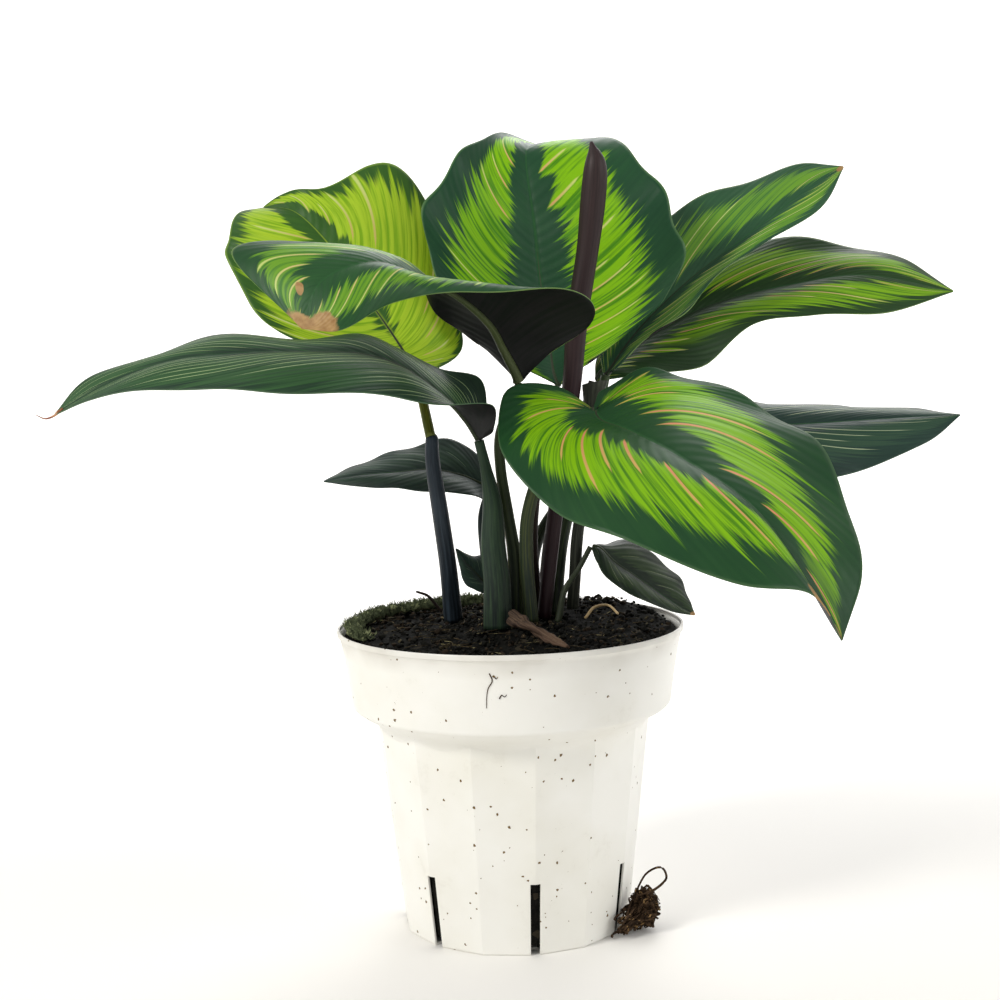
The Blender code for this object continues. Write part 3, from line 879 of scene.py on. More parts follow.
@dataclass
class Strands:
    """Thin crooked fibres, joined in one mesh."""

    name: str
    finish: CrumbFinish
    slot: str
    sides: int = 5

    def __post_init__(self) -> None:
        """Starts the mesh that the strands are collected in."""
        self.bm = bmesh.new()

    def add(self, route: list[Vector], thick: float, thin: float) -> None:
        """Adds a strand.

        Args:
            route: Points in millimetres that the strand passes through.
            thick: Its radius at the start.
            thin: Its radius at the end.
        """
        steps = 5 * (len(route) - 1)
        made = bmesh.ops.create_grid(self.bm, x_segments=self.sides, y_segments=steps,
                                     size=1.0)["verts"]
        for vert in made:
            along = (vert.co.y + 1) / 2
            at = along * (len(route) - 1)
            here = smooth_point(route, at)
            ahead = smooth_point(route, min(at + 0.05, len(route) - 1))
            ahead = (ahead - smooth_point(route, max(at - 0.05, 0.0))).normalized()
            sideways = ahead.orthogonal().normalized()
            angle = (vert.co.x + 1) * pi
            spoke = sideways * cos(angle) + ahead.cross(sideways) * sin(angle)
            vert.co = (here + spoke * (thick + (thin - thick) * along)) * MM

    def build(self, *nodes: str) -> None:
        """Adds the collected strands as one piece."""
        close_shell(self.bm)
        mesh = bpy.data.meshes.new(self.name)
        self.bm.to_mesh(mesh)
        self.bm.free()
        mesh.shade_smooth()
        add_piece(mesh, [self.finish.material()], self.slot, *nodes)


@dataclass
class Soil:
    """Crumbly peat that fills the pot and is heaped at the back right."""

    pot: Pot
    edge_height: float = 103.0
    reach: float = 57.4
    gap: float = 0.9
    mound: float = 4.5
    mound_spread: float = 24.0
    heap: float = 4.0
    heap_spread: float = 16.0
    crumbs: int = 1700
    seed: int = 7

    def height(self, x: float, y: float) -> float:
        """Returns the soil's height without its crumbs."""
        mound = self.mound * exp(-((x - 5) ** 2 + (y - 2) ** 2) / (2 * self.mound_spread**2))
        heap = self.heap * exp(-((x - 34) ** 2 + (y - 30) ** 2) / (2 * self.heap_spread**2))
        return self.edge_height + mound + heap

    def place(self, across: float, along: float) -> Vector:
        """Returns the rough top for an angle share and a reach share, then the side."""
        angle = tau * across
        if along > 0.8:
            height = 3.0 + (self.edge_height - 4.0) * (1 - along) / 0.2
            reach = self.pot.radius(height, angle) - self.pot.wall - self.gap
            return Vector((reach * sin(angle), -reach * cos(angle), height))
        reach = self.reach * along / 0.8
        x, y = reach * sin(angle), -reach * cos(angle)
        spot = Vector((x, y, 3.0))
        rough = 1.3 * noise.noise(spot * 0.16) + 0.8 * noise.noise(spot * 0.45)
        return Vector((x, y, self.height(x, y) - 1.2 + rough))

    def build(self) -> None:
        """Adds the soil, its crumbs and its loose fibres."""
        mesh = surface_mesh("potting_soil_body", 112, 100, self.place, tube=True)
        add_piece(mesh, [PEAT.material()], "peat_soil", "potting_soil")
        rng = random.Random(self.seed)
        for finish, share in ((DARK_CRUMB, 0.8), (BROWN_CRUMB, 0.2)):
            self.scatter(finish, round(self.crumbs * share), rng)
        fibres = Strands("soil_fibres", STRAW, "peat_soil", 4)
        for _ in range(120):
            start = self.spot(rng)
            turn = rng.uniform(0, tau)
            step = Vector((cos(turn), sin(turn), 0.0)) * rng.uniform(2.0, 4.5)
            bend = Vector((rng.uniform(-1, 1), rng.uniform(-1, 1), rng.uniform(0.2, 1.4)))
            lift = Vector((0, 0, 0.7))
            route = [start + lift, start + step + bend, start + 2 * step + lift]
            if all(hypot(p.x, p.y) < self.reach - 1 for p in route):
                fibres.add(route, 0.16, 0.08)
        fibres.build()

    def spot(self, rng: random.Random) -> Vector:
        """Returns a random place on the soil."""
        reach = (self.reach - 2.0) * rng.random() ** 0.5
        angle = rng.uniform(0, tau)
        x, y = reach * sin(angle), -reach * cos(angle)
        return Vector((x, y, self.height(x, y)))

    def scatter(self, finish: CrumbFinish, count: int, rng: random.Random) -> None:
        """Adds loose crumbs of one finish.

        Args:
            finish: The crumbs' finish.
            count: How many there are.
            rng: The seeded source of chance.
        """
        bm = bmesh.new()
        for _ in range(count):
            at = self.spot(rng)
            size = rng.choice((0.4, 0.5, 0.6, 0.8, 1.1)) * rng.uniform(0.8, 1.2)
            crumb = bmesh.ops.create_icosphere(bm, subdivisions=1, radius=size)["verts"]
            for vert in crumb:
                vert.co *= 1 + 0.55 * noise.noise(vert.co * 0.9 + at)
                vert.co.z *= 0.8
            middle = at + Vector((0, 0, rng.uniform(-0.6, 0.5) * size))
            bmesh.ops.translate(bm, vec=middle, verts=crumb)
        bmesh.ops.scale(bm, vec=Vector((MM, MM, MM)), verts=bm.verts)
        mesh = bpy.data.meshes.new(finish.name)
        bm.to_mesh(mesh)
        bm.free()
        mesh.shade_smooth()
        mesh.set_sharp_from_angle(angle=radians(50))
        add_piece(mesh, [finish.material()], "peat_soil")


@dataclass
class RimMoss:
    """A low roll of dry moss along the left and the back of the rim."""

    soil: Soil
    reach: float = 54.5
    start: float = 168.0
    end: float = 298.0
    seed: int = 11

    def middle(self, along: float) -> Vector:
        """Returns the roll's middle line."""
        angle = radians(self.start + (self.end - self.start) * along)
        x, y = self.reach * sin(angle), -self.reach * cos(angle)
        return Vector((x, y, self.soil.height(x, y) + 1.6))

    def place(self, across: float, along: float) -> Vector:
        """Returns the roll's lumpy surface."""
        middle = self.middle(along)
        outward = Vector((middle.x, middle.y, 0.0)).normalized()
        angle = tau * across
        ends = sin(pi * min(max(along, 0.0), 1.0)) ** 0.35
        spoke = outward * cos(angle) * 2.8 + Vector((0, 0, 1)) * sin(angle) * 2.1
        lump = 1 + 0.5 * noise.noise((middle + spoke) * 0.55) + 0.3 * noise.noise(
            (middle + spoke) * 1.6)
        return middle + spoke * lump * ends

    def build(self) -> None:
        """Adds the roll and its fine shoots."""
        mesh = surface_mesh("rim_moss_roll", 18, 220, self.place, tube=True)
        add_piece(mesh, [MOSS.material()], "moss", "rim_moss")
        rng = random.Random(self.seed)
        shoots = Strands("moss_shoots", MOSS, "moss", 3)
        for _ in range(1500):
            at = self.middle(rng.random())
            lean = Vector((rng.uniform(-1, 1), rng.uniform(-1, 1), rng.uniform(0.2, 1.3)))
            start = at + Vector((rng.uniform(-3, 3), rng.uniform(-3, 3), rng.uniform(0.2, 1.6)))
            if hypot(start.x, start.y) < 57.4:
                shoots.add([start, start + lean * 0.9, start + lean * 1.6 + Vector((0, 0, 0.3))],
                           0.22, 0.08)
        shoots.build()


@dataclass
class RootClump:
    """Roots that left the pot through a slot and dried in a ball beside it."""

    middle: Vector = field(default_factory=lambda: Vector((44.0, -16.0, 7.8)))
    spread: Vector = field(default_factory=lambda: Vector((5.5, 8.5, 7.2)))
    strands: int = 150
    seed: int = 5

    def build(self) -> None:
        """Adds the ball of fibres and the loop above it."""
        rng = random.Random(self.seed)
        ball = Strands("root_clump_fibres", ROOT_FIBRE, "roots")
        for _ in range(self.strands):
            ball.add([self.inside(rng) for _ in range(4)], rng.uniform(0.25, 0.5), 0.15)
        for _ in range(90):
            angle, reach = radians(rng.uniform(50, 74)), rng.uniform(41.2, 46)
            low = Vector((reach * sin(angle), -reach * cos(angle), rng.uniform(0.8, 8)))
            ball.add([low, low + Vector((1.5, 2, 0.8)), self.inside(rng), self.inside(rng)],
                     rng.uniform(0.3, 0.55), 0.2)
        loop = [(41, -18, 12), (47, -20, 15), (51.5, -17, 18), (50, -13, 20.5), (45, -12, 18),
                (41, -14, 12)]
        ball.add([Vector(point) for point in loop], 0.5, 0.35)
        ball.build("root_clump")

    def inside(self, rng: random.Random) -> Vector:
        """Returns a random place in the ball."""
        way = Vector((rng.gauss(0, 1), rng.gauss(0, 1), rng.gauss(0, 1))).normalized()
        part = way * rng.uniform(0.45, 1.0)
        at = self.middle + Vector([p * s for p, s in zip(part, self.spread)])
        at.z = max(at.z, 0.8)
        return at


@dataclass
class PotThreads:
    """Thin dark roots that dried on the front of the pot's collar."""

    pot: Pot
    lift: float = 0.1
    routes: tuple = (
        ((-7.0, 99.0), (-6.2, 96.5), (-7.6, 94.0), (-8.2, 91.0), (-8.4, 87.5)),
        ((-5.6, 98.2), (-5.0, 97.2), (-4.4, 97.8)),
        ((-4.2, 90.6), (-3.4, 91.8), (-2.6, 91.2), (-1.8, 91.9)),
    )

    def build(self) -> None:
        """Adds the threads, each through places of an angle in degrees and a height."""
        threads = Strands("collar_threads", ROOT_FIBRE, "roots", 6)
        for route in self.routes:
            points = []
            for degrees, height in route:
                angle = radians(degrees)
                reach = self.pot.radius(height, angle) + self.lift
                points.append(Vector((reach * sin(angle), -reach * cos(angle), height)))
            threads.add(points, 0.22, 0.1)
        threads.build()


def dry_tip() -> None:
    """Adds the long leaf's withered tip, which curls up."""
    tip = Strands("long_leaf_dry_tip", DRY_TIP, "green_leaf", 6)
    route = [(-140.5, -43.8, 184.6), (-143.4, -44.2, 182.4), (-146.2, -44.6, 181.6),
             (-149.0, -45.0, 183.0)]
    tip.add([Vector(point) for point in route], 0.5, 0.12)
    tip.build()


# ------------------------------------------------------------------ the plant

FRONT = LeafFinish(
    deep="#1c4527", green="#2c5a2e", feather="#90cc0e", feather_shade="#478614", edge="#4c7048",
    stripe="#ec9a72", stripe_pale="#e2b86a", inner=0.28, outer=0.82, ragged=0.36, start=0.07,
    end=0.88, teeth=40.0, stripes=15.0, stripe_share=0.85, stripe_width=0.08, stripe_inner=0.17,
    stripe_length=0.58, sweep=0.12, seed=3.0, strength=0.95,
    dry=(DrySpot(1.0, 0.91, 0.07, 0.03), DrySpot(0.5, 1.0, 0.3, 0.02)),
)
ROUND = LeafFinish(
    deep="#1e4830", green="#2b5c36", feather="#90cf0c", feather_shade="#4f9412",
    stripe="#efb878", stripe_pale="#dde884", edge="#5c8452", inner=0.24, outer=0.8, ragged=0.42, start=0.08, end=0.95, teeth=48.0, stripes=17.0,
    stripe_width=0.06, stripe_inner=0.22, stripe_length=0.52, sweep=0.1, seed=8.0,
)
LIME = LeafFinish(
    deep="#35602a", green="#4c7c28", feather="#bfe234", feather_shade="#8cc01c",
    stripe="#e2cf74", stripe_pale="#e0ee8c", inner=-0.4, inner_growth=0.95, outer=0.93,
    ragged=0.35, start=-0.3, end=0.93, teeth=34.0, stripes=13.0, stripe_share=0.8,
    stripe_inner=0.25, stripe_length=0.6, edge="#8fb44a", rib="#a2c040", seed=12.0, glow=0.32,
)
CURLED = LeafFinish(
    deep="#234a2c", green="#346634", feather="#86bf2c", feather_shade="#4c8a2c",
    stripe="#e0cc86", stripe_pale="#cfe080", inner=0.28, outer=0.76, teeth=44.0, stripes=18.0,
    stripe_share=0.75, stripe_inner=0.2, sweep=0.2, seed=4.0, strength=0.75,
    dry=(DrySpot(0.5, 1.0, 0.6, 0.035), DrySpot(0.0, 0.96, 0.34, 0.07),
         DrySpot(0.62, 0.92, 0.04, 0.014)),
)
LONG = LeafFinish(
    deep="#24382f", green="#3d5c40", feather="#4f7f48", feather_shade="#375c3a",
    stripe="#b4cf90", stripe_pale="#bcd69a", inner=0.08, outer=0.97, teeth=30.0, stripes=24.0,
    stripe_share=0.8, stripe_inner=0.05, stripe_length=0.8, stripe_width=0.08, halo_width=0.2,
    sweep=0.4, seed=5.0, strength=0.5, edge="#5c7a5a", dry=(DrySpot(0.5, 1.0, 0.6, 0.012),),
)
UPPER_RIGHT = LeafFinish(
    deep="#2a4f36", green="#41704a", feather="#86bf34", feather_shade="#4f8c3c",
    stripe="#e0d684", stripe_pale="#d3e688", inner=0.2, outer=0.8, teeth=32.0, stripes=17.0,
    stripe_share=0.85, stripe_inner=0.12, stripe_length=0.7, sweep=0.3, seed=6.0, strength=0.75,
    dry=(DrySpot(0.5, 1.0, 0.5, 0.02),),
)
MIDDLE_RIGHT = LeafFinish(
    deep="#22391f", green="#35592a", feather="#8fc51e", feather_shade="#4d8420",
    stripe="#ec9f80", stripe_pale="#e6d890", inner=0.24, outer=0.82, start=0.3, teeth=34.0,
    stripes=18.0, stripe_share=0.8, stripe_length=0.55, sweep=0.3, seed=7.0, strength=0.9,
)
LOWER_RIGHT = LeafFinish(
    deep="#1f332e", green="#304c40", feather="#48684a", feather_shade="#345444",
    stripe="#c2cfa4", stripe_pale="#c2d2a8", inner=0.25, outer=0.85, teeth=30.0, stripes=17.0,
    stripe_share=0.7, stripe_width=0.06, halo_width=0.2, stripe_length=0.6, sweep=0.36,
    seed=9.0, strength=0.45, edge="#4c6a58",
)
SHADED = LeafFinish(
    deep="#25332f", green="#3b5048", feather="#4c6a50", feather_shade="#405c4c",
    stripe="#7f9480", stripe_pale="#869c84", teeth=18.0, stripes=12.0, stripe_share=0.5,
    stripe_width=0.05, halo_width=0.1, sweep=0.3, seed=10.0, strength=0.25, edge="#4c6458",
)
RIM = LeafFinish(
    deep="#1e2a20", green="#2f3f2c", feather="#4c6438", feather_shade="#364c2c",
    stripe="#7f8c64", stripe_pale="#83906a", teeth=14.0, stripes=13.0, stripe_share=0.6,
    stripe_width=0.05, halo_width=0.1, sweep=0.3, seed=11.0, strength=0.4, edge="#56684c",
    dry=(DrySpot(0.5, 1.0, 0.7, 0.05),),
)

BLADES = [
    Blade(
        "front_leaf", "green_leaf", crown=4.0, ripple=1.0, scallop=0.8, rows=150, columns=76,
        finish=FRONT,
        rib=[(29, -20, 180), (29, -21, 179), (30, -22, 179), (30, -24, 178), (32, -28, 176),
             (40, -38, 173), (55, -56, 165), (77, -74, 148), (98, -84, 112)],
        left=[(33, -14, 186), (48, -6, 192), (66, -6, 189), (85, -14, 179), (100, -30, 168),
              (108, -52, 147), (107, -70, 128)],
        right=[(16, -22, 188), (-1, -30, 185), (-2, -46, 168), (14, -67, 151), (36, -85, 143),
               (66, -98, 131), (88, -93, 127)],
    ),
    Blade(
        "round_leaf", "green_leaf", crown=3.0, ripple=1.0, scallop=1.1, ripples=6.0, rows=150, columns=76,
        finish=ROUND,
        rib=[(19, 8, 187), (18, 9, 189), (17, 11, 194), (16, 16, 206), (14, 20, 221),
             (12, 24, 244), (10, 34, 271), (19, 70, 276)],
        left=[(6, 6, 194), (-13, 6, 207), (-24, 8, 231), (-25, 10, 252), (-13, 20, 270),
              (1, 42, 278)],
        right=[(30, 12, 195), (49, 20, 208), (61, 18, 222), (62, 16, 242), (54, 22, 261),
               (39, 44, 276)],
    ),
    Blade(
        "lime_leaf", "lime_leaf", ripple=0.6, scallop=0.8, finish=LIME,
        underside=UndersideFinish("#47622c", "#7f9c3c"),
        rib=[(-32, 3, 195), (-32, 4, 196), (-34, 5, 199), (-37, 6, 204), (-43, 9, 213),
             (-53, 15, 227), (-63, 22, 241), (-74, 28, 251), (-87, 46, 254)],
        left=[(-40, 1, 198), (-54, -2, 203), (-72, -4, 205), (-85, -2, 216), (-93, 4, 232),
              (-96, 14, 241), (-94, 32, 251)],
        right=[(-23, 6, 194), (-14, 16, 204), (-19, 26, 233), (-31, 34, 262), (-47, 34, 266),
               (-65, 30, 259), (-76, 34, 259)],
    ),
    Blade(
        "curled_leaf", "green_leaf", crown=2.0, ripple=0.9, finish=CURLED, rib_radius=1.7, rows=130,
        ridge_finish=StemFinish("#4a5230", "#2c3824", "#56603a", seed=20.0),
        rib=[(5, -9, 189), (4, -10, 192), (0, -14, 200), (-5, -22, 209), (-15, -34, 218),
             (-27, -46, 224), (-40, -56, 228), (-55, -64, 222), (-61, -70, 208)],
        left=[(15, -16, 198), (28, -24, 207), (29, -30, 216), (9, -40, 219), (-16, -52, 218),
              (-33, -64, 215), (-48, -72, 207)],
        right=[(1, -7, 194), (-5, -6, 200), (-13, -10, 205), (-22, -18, 213), (-32, -26, 229),
               (-58, -32, 235), (-85, -46, 233)],
    ),
    Blade(
        "long_leaf", "green_leaf", crown=1.5, ripple=0.8, scallop=0.4, finish=LONG, rows=140,
        rib=[(-9, -12, 170), (-10, -13, 172), (-13, -15, 177), (-19, -18, 184), (-33, -24, 195),
             (-47, -28, 200), (-66, -32, 201), (-86, -36, 201), (-107, -39, 199),
             (-127, -42, 192), (-143, -44, 183)],
        left=[(-4, -24, 174), (-4, -34, 182), (-19, -42, 183), (-35, -48, 186), (-55, -52, 188),
              (-76, -54, 189), (-95, -54, 190), (-114, -52, 190), (-132, -48, 187)],
        right=[(-6, -7, 180), (-9, -3, 190), (-22, -4, 195), (-39, -6, 202), (-50, -9, 207),
               (-69, -13, 203), (-93, -18, 208), (-112, -27, 201), (-133, -36, 195)],
    ),
    Blade(
        "upper_right_leaf", "green_leaf", finish=UPPER_RIGHT,
        rib=[(36, 22, 190), (38, 23, 192), (43, 26, 199), (52, 32, 209), (69, 40, 224),
             (90, 48, 239), (111, 54, 254), (129, 58, 265)],
        left=[(35, 28, 199), (37, 38, 215), (48, 50, 235), (66, 58, 250), (90, 64, 260),
              (114, 64, 267)],
        right=[(42, 20, 194), (52, 20, 204), (65, 24, 211), (78, 34, 225), (96, 42, 236),
               (119, 50, 249)],
    ),
    Blade(
        "middle_right_leaf", "green_leaf", finish=MIDDLE_RIGHT,
        rib=[(33, 30, 188), (36, 33, 192), (45, 40, 198), (61, 50, 207), (82, 58, 216),
             (110, 64, 222), (139, 66, 225), (172, 64, 218)],
        left=[(36, 42, 199), (52, 60, 213), (75, 74, 228), (103, 82, 240), (133, 84, 238),
              (157, 78, 231)],
        right=[(43, 28, 189), (55, 32, 190), (74, 40, 192), (93, 50, 207), (117, 52, 210),
               (144, 54, 210)],
    ),
    Blade(
        "lower_right_leaf", "dark_leaf", finish=LOWER_RIGHT,
        rib=[(48, 20, 164), (52, 22, 166), (63, 27, 168), (82, 34, 170), (109, 40, 170),
             (139, 42, 171), (168, 40, 172)],
        left=[(55, 32, 173), (73, 46, 178), (99, 58, 177), (128, 62, 175), (154, 56, 174)],
        right=[(57, 16, 160), (76, 18, 154), (102, 22, 150), (128, 28, 153), (154, 34, 162)],
    ),
    Blade(
        "lower_left_leaf", "dark_leaf", crown=1.0, ripple=0.4, scallop=0.2, finish=SHADED, rows=70, columns=36,
        rib=[(-6, 12, 152), (-9, 13, 153), (-16, 16, 156), (-27, 20, 158), (-40, 23, 157),
             (-53, 25, 156), (-66, 26, 154)],
        left=[(-6, 8, 147), (-13, 4, 150), (-27, 8, 151), (-40, 14, 152), (-52, 20, 152)],
        right=[(-8, 20, 160), (-19, 30, 168), (-35, 36, 165), (-49, 37, 161), (-60, 34, 157)],
    ),
    Blade(
        "rim_leaf", "dark_leaf", crown=1.0, ripple=0.3, scallop=0.3, finish=RIM, rows=70, columns=36,
        rib=[(29, -4, 132), (32, -4, 131), (37, -4, 126), (44, -4, 121), (52, -4, 115),
             (59, -4, 110), (64, -4, 107)],
        left=[(33, 4, 131), (43, 10, 132), (54, 12, 124), (61, 9, 117), (63, 1, 111)],
        right=[(30, -9, 127), (33, -13, 122), (40, -14, 117), (48, -13, 113), (56, -9, 109)],
    ),
    Blade(
        "base_leaflet", "dark_leaf", crown=0.5, ripple=0.1, scallop=0.1, finish=SHADED, rows=40, columns=24,
        rib=[(-5, -1, 115), (-7, -2, 118), (-11, -3, 123), (-15, -4, 128), (-18, -4, 132)],
        left=[(-10, -6, 117), (-15, -7, 120), (-17, -6, 126)],
        right=[(-5, 3, 122), (-8, 3, 128), (-13, 0, 129)],
    ),
]

STEMS = [
    Stem(
        "lime_leaf_sheath", "purple_stem",
        route=[
            (-20, 3, 109, 3.4), (-21, -3, 126, 3.1), (-23, -8, 145, 2.9), (-25, -10, 162, 2.6),
            (-25, -11, 172, 2.2),
        ],
        finish=StemFinish("#151b20", "#28333d", "#3a4650", seed=1.0),
        section=Section.SHEATH, round_top=True, seam=0.7,
    ),
    Stem(
        "lime_leaf_petiole", "lime_stem",
        route=[
            (-26, -11, 174, 1.7), (-28, -6, 183, 1.6), (-30, -1, 190, 1.5), (-32, 2, 194, 1.5),
        ],
        finish=StemFinish("#4c5420", "#757b26", "#8a9030", seed=2.0),
    ),
    Stem(
        "long_leaf_stem", "green_stem",
        route=[
            (-4, -15, 109, 4.8), (-4, -15, 121, 4.5), (-5, -14, 134, 4.2), (-5, -13, 148, 3.3),
            (-7, -12, 160, 2.0), (-9, -12, 169, 1.7),
        ],
        finish=StemFinish("#18211f", "#2f4434", "#3c5238", seed=3.0, line="#c98a52",
                          line_at=0.99, line_from=0.1, line_to=0.8),
        section=Section.SHEATH, seam=0.0,
    ),
    Stem(
        "curled_leaf_stem", "green_stem",
        route=[
            (2, -6, 110, 2.6), (2, -7, 128, 2.4), (0, -8, 144, 2.1), (-2, -8, 159, 1.9),
            (-2, -8, 171, 1.8), (2, -8, 181, 1.7), (5, -9, 188, 1.5),
        ],
        finish=StemFinish("#1a211f", "#3c4a28", "#46542c", seed=4.0, line="#8f8a5a", line_at=0.05,
                          line_from=0.0, line_to=0.6),
        section=Section.SHEATH,
    ),
    Stem(
        "lower_left_leaf_stem", "green_stem",
        route=[
            (-7, 5, 110, 1.9), (-8, 8, 126, 1.8), (-9, 12, 140, 1.5), (-7, 14, 149, 1.2),
        ],
        finish=StemFinish("#171e1f", "#2b3836", "#384642", seed=5.0),
    ),
    Stem(
        "front_leaf_stem", "green_stem",
        route=[
            (7, -11, 110, 2.6), (6, -12, 128, 2.5), (7, -13, 145, 2.3), (13, -15, 162, 2.1),
            (22, -17, 174, 1.9), (28, -19, 179, 1.7),
        ],
        finish=StemFinish("#1b2422", "#3a4a28", "#515a2c", seed=6.0, line="#a3935c", line_at=0.95,
                          line_from=0.0, line_to=0.7),
        section=Section.SHEATH,
    ),
    Stem(
        "round_leaf_stem", "purple_stem",
        route=[
            (9, 2, 111, 2.4), (8, 2, 134, 2.3), (10, 2, 155, 2.1), (12, 3, 172, 2.0),
            (17, 6, 185, 1.8),
        ],
        finish=StemFinish("#201619", "#3a2c26", "#46382c", seed=7.0),
    ),
    Stem(
        "rolled_new_leaf", "purple_stem",
        route=[
            (12, -4, 110, 2.4), (16, -4, 141, 2.6), (20, -4, 169, 3.0), (23, -4, 189, 3.2),
            (25, -4, 209, 3.6), (29, -5, 233, 3.7), (31, -6, 249, 4.2), (32, -7, 261, 3.6),
            (31, -7, 268, 0.5),
        ],
        finish=StemFinish("#2b171d", "#2c2423", "#3c2c2c", seed=8.0, line="#6d5a58", line_at=0.73,
                          line_from=0.3, line_to=1.05),
        section=Section.ROLLED, seam=0.72, rows=110,
    ),
    Stem(
        "upper_right_leaf_stem", "green_stem",
        route=[
            (16, 2, 110, 2.3), (19, 6, 133, 2.2), (26, 14, 157, 2.0), (33, 19, 176, 1.8),
            (36, 21, 189, 1.6),
        ],
        finish=StemFinish("#1a2120", "#34452a", "#465630", seed=9.0),
    ),
    Stem(
        "middle_right_leaf_stem", "purple_stem",
        route=[
            (12, 9, 110, 2.2), (15, 15, 133, 2.1), (20, 23, 153, 1.9), (28, 28, 174, 1.8),
            (32, 29, 187, 1.6),
        ],
        finish=StemFinish("#1c1719", "#38382a", "#463c30", seed=10.0),
    ),
    Stem(
        "lower_right_leaf_stem", "green_stem",
        route=[
            (7, 14, 109, 2.2), (11, 20, 132, 2.0), (24, 25, 149, 1.8), (39, 22, 160, 1.6),
            (47, 20, 164, 1.5),
        ],
        finish=StemFinish("#181f1d", "#303c2a", "#404c30", seed=11.0),
    ),
    Stem(
        "rim_leaf_stem", "purple_stem",
        route=[
            (17, -8, 109, 1.1), (19, -7, 117, 1.0), (24, -5, 124, 0.9), (28, -4, 131, 0.9),
        ],
        finish=StemFinish("#23281f", "#2f3828", "#465034", seed=12.0),
        sides=14,
    ),
    Stem(
        "dry_sheath", "dry_sheath",
        route=[
            (2, -23, 110, 1.8), (5, -28, 109, 1.6), (10, -35, 107, 1.3), (14, -42, 106, 1.0),
            (18, -48, 105, 0.6),
        ],
        finish=StemFinish("#2f241f", "#5c4638", "#7a6450", 0.8, seed=13.0),
        section=Section.WITHERED, reach=0.0, sides=24, rows=110,
    ),
    Stem(
        "pale_twig", "dry_sheath",
        route=[
            (26, -14, 109, 0.5), (29, -8, 111, 0.5), (34, -4, 111, 0.4), (37, -10, 109, 0.4),
        ],
        finish=StemFinish("#8a7048", "#c9ae80", "#dcc69a", 0.8, seed=14.0),
        sides=10, reach=0.0, sink=1.0,
    ),
    Stem(
        "dark_twig", "purple_stem",
        route=[
            (-26, 16, 109, 0.5), (-29, 14, 113, 0.5), (-33, 12, 115, 0.4),
        ],
        finish=StemFinish("#231c1a", "#3a2e28", "#4a3c30", 0.8, seed=15.0),
        sides=10, reach=0.0,
    ),
]


@dataclass
class CurledSheath:
    """An old sheath on its stalk, whose dried top stands open as a thin cup."""

    stalk: tuple = (
        (22, 3, 109, 2.2), (23, 0, 122, 2.1), (24, -1, 135, 2.1), (27, -3, 155, 1.9),
        (29, -3, 173, 1.8), (29.4, -2.8, 178, 2.1), (30.2, -2.3, 183, 3.4), (31, -2, 188, 4.5),
    )
    finish: StemFinish = StemFinish("#20241e", "#34382e", "#54584a", 0.6, seed=16.0)

    def place(self, across: float, along: float) -> Vector:
        """Returns the stalk's and the cup's outside, then the cup's inside."""
        points = [Vector(point) for point in self.stalk]
        last = len(points) - 1
        inside = along > 0.85
        at = last * along / 0.85 if not inside else last - (along - 0.85) / 0.15 * 1.6
        here = smooth_point(points, at)
        angle = tau * across
        radius = here.w - (0.35 + 0.6 * (along - 0.85) / 0.15 if inside else 0.0)
        edge = 0.9 * cos(angle + 0.8) * ease(0.7, 0.85, along) if not inside else (
            0.9 * cos(angle + 0.8) * ease(1.0, 0.85, along))
        return here.to_3d() + Vector((radius * cos(angle), radius * sin(angle), edge))

    def build(self) -> None:
        """Adds the sheath."""
        mesh = surface_mesh("curled_sheath_wall", 24, 90, self.place, tube=True)
        add_piece(mesh, [self.finish.material("curled_sheath")], "dry_sheath", "curled_sheath")


# ------------------------------------------------------------------ the stage


@dataclass(frozen=True)
class Lamp:
    """A soft area light that looks at the plant."""

    name: str
    at: tuple[float, float, float]
    size: float
    power: float
    colour: str = "#ffffff"

    def build(self) -> None:
        """Adds the light to the stage."""
        data = bpy.data.lights.new(self.name, "AREA")
        data.shape = "DISK"
        data.size = self.size
        data.energy = self.power
        data.color = linear(self.colour)[:3]
        lamp = bpy.data.objects.new(self.name, data)
        bpy.context.scene.collection.objects.link(lamp)
        lamp.location = self.at
        way = Vector((0.0, 0.0, 0.14)) - Vector(self.at)
        lamp.rotation_euler = way.to_track_quat("-Z", "Y").to_euler()


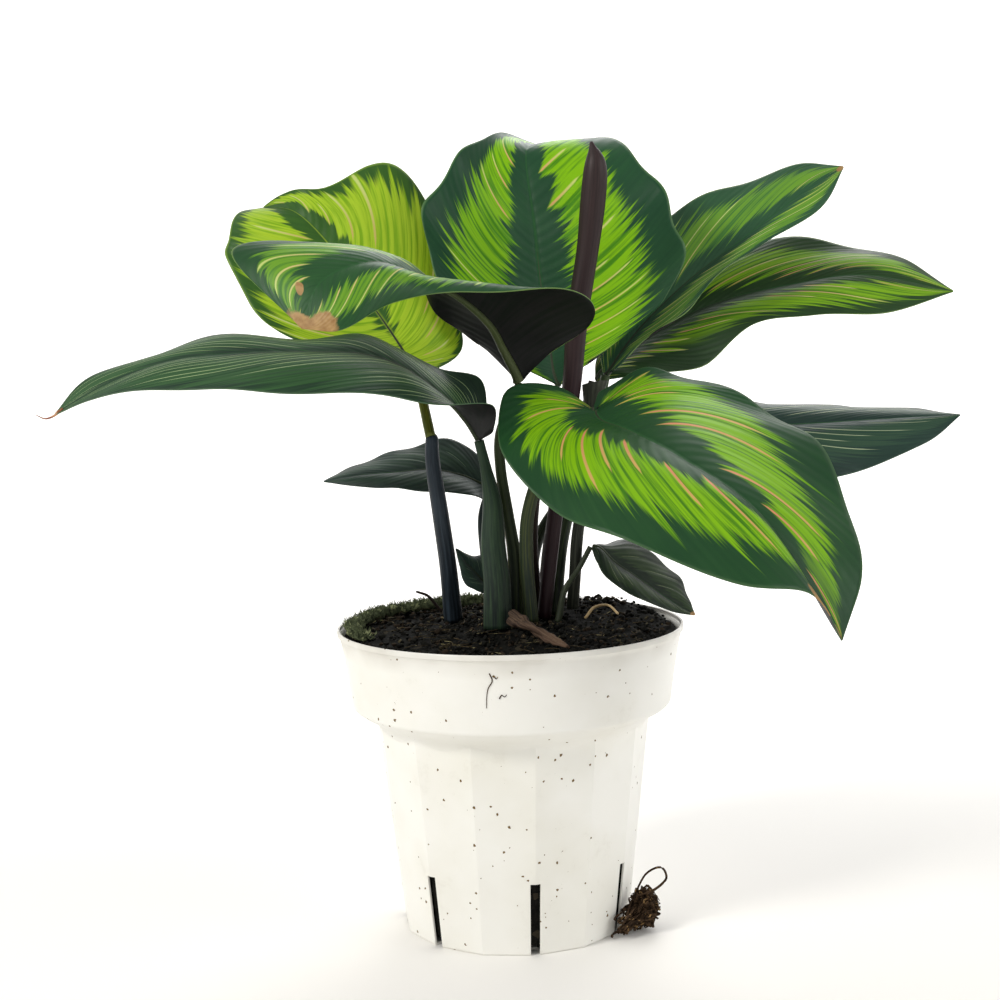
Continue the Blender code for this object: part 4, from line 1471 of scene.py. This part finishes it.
@dataclass
class Stage:
    """The white table and backdrop, the lights and the camera."""

    table: str = "#f1efeb"
    world: float = 0.5
    # strength of the painted light: the backdrop's white glow, which is no lamp
    backdrop_glow_strength: float = 0.5
    camera_at: tuple[float, float, float] = (-0.0025, -0.563, 0.201)
    pitch: float = radians(5.37)
    roll: float = radians(-1.36)
    lens: float = 58.8
    lamps: tuple[Lamp, ...] = (
        Lamp("key", (-0.9, -0.7, 0.9), 0.4, 10.0, "#fffdf8"),
        Lamp("fill", (1.1, -0.5, 0.6), 0.7, 4.5),
        Lamp("back", (0.2, 0.9, 0.9), 0.8, 6.0),
    )

    def build(self) -> None:
        """Adds everything round the plant."""
        self.add_table()
        self.add_world()
        for lamp in self.lamps:
            lamp.build()
        self.add_camera()

    def add_table(self) -> None:
        """Adds the table top, which bends up into the backdrop and glows with painted light towards the back.
        """

        def place(across: float, along: float) -> Vector:
            bend = max(along - 0.5, 0.0) / 0.5
            depth = -1500 + 4200 * min(along, 0.5)
            back = 900 * sin(min(bend, 1.0) * pi / 2)
            rise = 1400 * (1 - cos(min(bend, 1.0) * pi / 2))
            return Vector((-2500 + 5000 * across, depth + back, rise))

        mesh = surface_mesh("table", 4, 48, place)
        table = bpy.data.objects.new("table", mesh)
        bpy.context.scene.collection.objects.link(table)
        n = NodeBuilder("matt_white_card_painted_glow")
        depth = n.add("SeparateXYZ", {0: n.add("TexCoord").outputs["Object"]}).outputs["Y"]
        # painted light: the table glows white, from none in front of the plant to strongest on the backdrop
        painted_backdrop_glow = n.add("MapRange", {0: depth, 1: -0.05, 2: 0.6, 4: self.backdrop_glow_strength},
                    interpolation_type="SMOOTHSTEP")
        mesh.materials.append(n.finish(n.add("BsdfPrincipled", {
            "Base Color": linear(self.table), "Roughness": 0.7, "Specular IOR Level": 0.2,
            "Emission Color": (1.0, 1.0, 1.0, 1.0), "Emission Strength": painted_backdrop_glow,
        })))

    def add_world(self) -> None:
        """Adds the even white light all round."""
        world = bpy.data.worlds.new("white_room")
        world.use_nodes = True
        back = world.node_tree.nodes["Background"]
        back.inputs["Color"].default_value = (1.0, 1.0, 1.0, 1.0)
        back.inputs["Strength"].default_value = self.world
        bpy.context.scene.world = world
        bpy.context.scene.view_settings.view_transform = "Standard"

    def add_camera(self) -> None:
        """Adds the camera in front of the plant."""
        camera = bpy.data.objects.new("camera", bpy.data.cameras.new("camera"))
        bpy.context.scene.collection.objects.link(camera)
        camera.data.lens = self.lens
        camera.data.sensor_width = 36.0
        turn = Matrix.Rotation(pi / 2 - self.pitch, 4, "X")
        turn = turn @ Matrix.Rotation(self.roll, 4, "Z")
        camera.matrix_world = Matrix.Translation(self.camera_at) @ turn
        bpy.context.scene.camera = camera


def main() -> None:
    """Builds the plant, its pot and the stage."""
    logging.basicConfig(level=logging.INFO, format="%(message)s")
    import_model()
    pot = Pot()
    pot.build()
    soil = Soil(pot)
    soil.build()
    RimMoss(soil).build()
    RootClump().build()
    PotThreads(pot).build()
    dry_tip()
    for stem in STEMS:
        stem.build()
    CurledSheath().build()
    for blade in BLADES:
        blade.build()
    Stage().build()


if __name__ == "__main__":
    main()
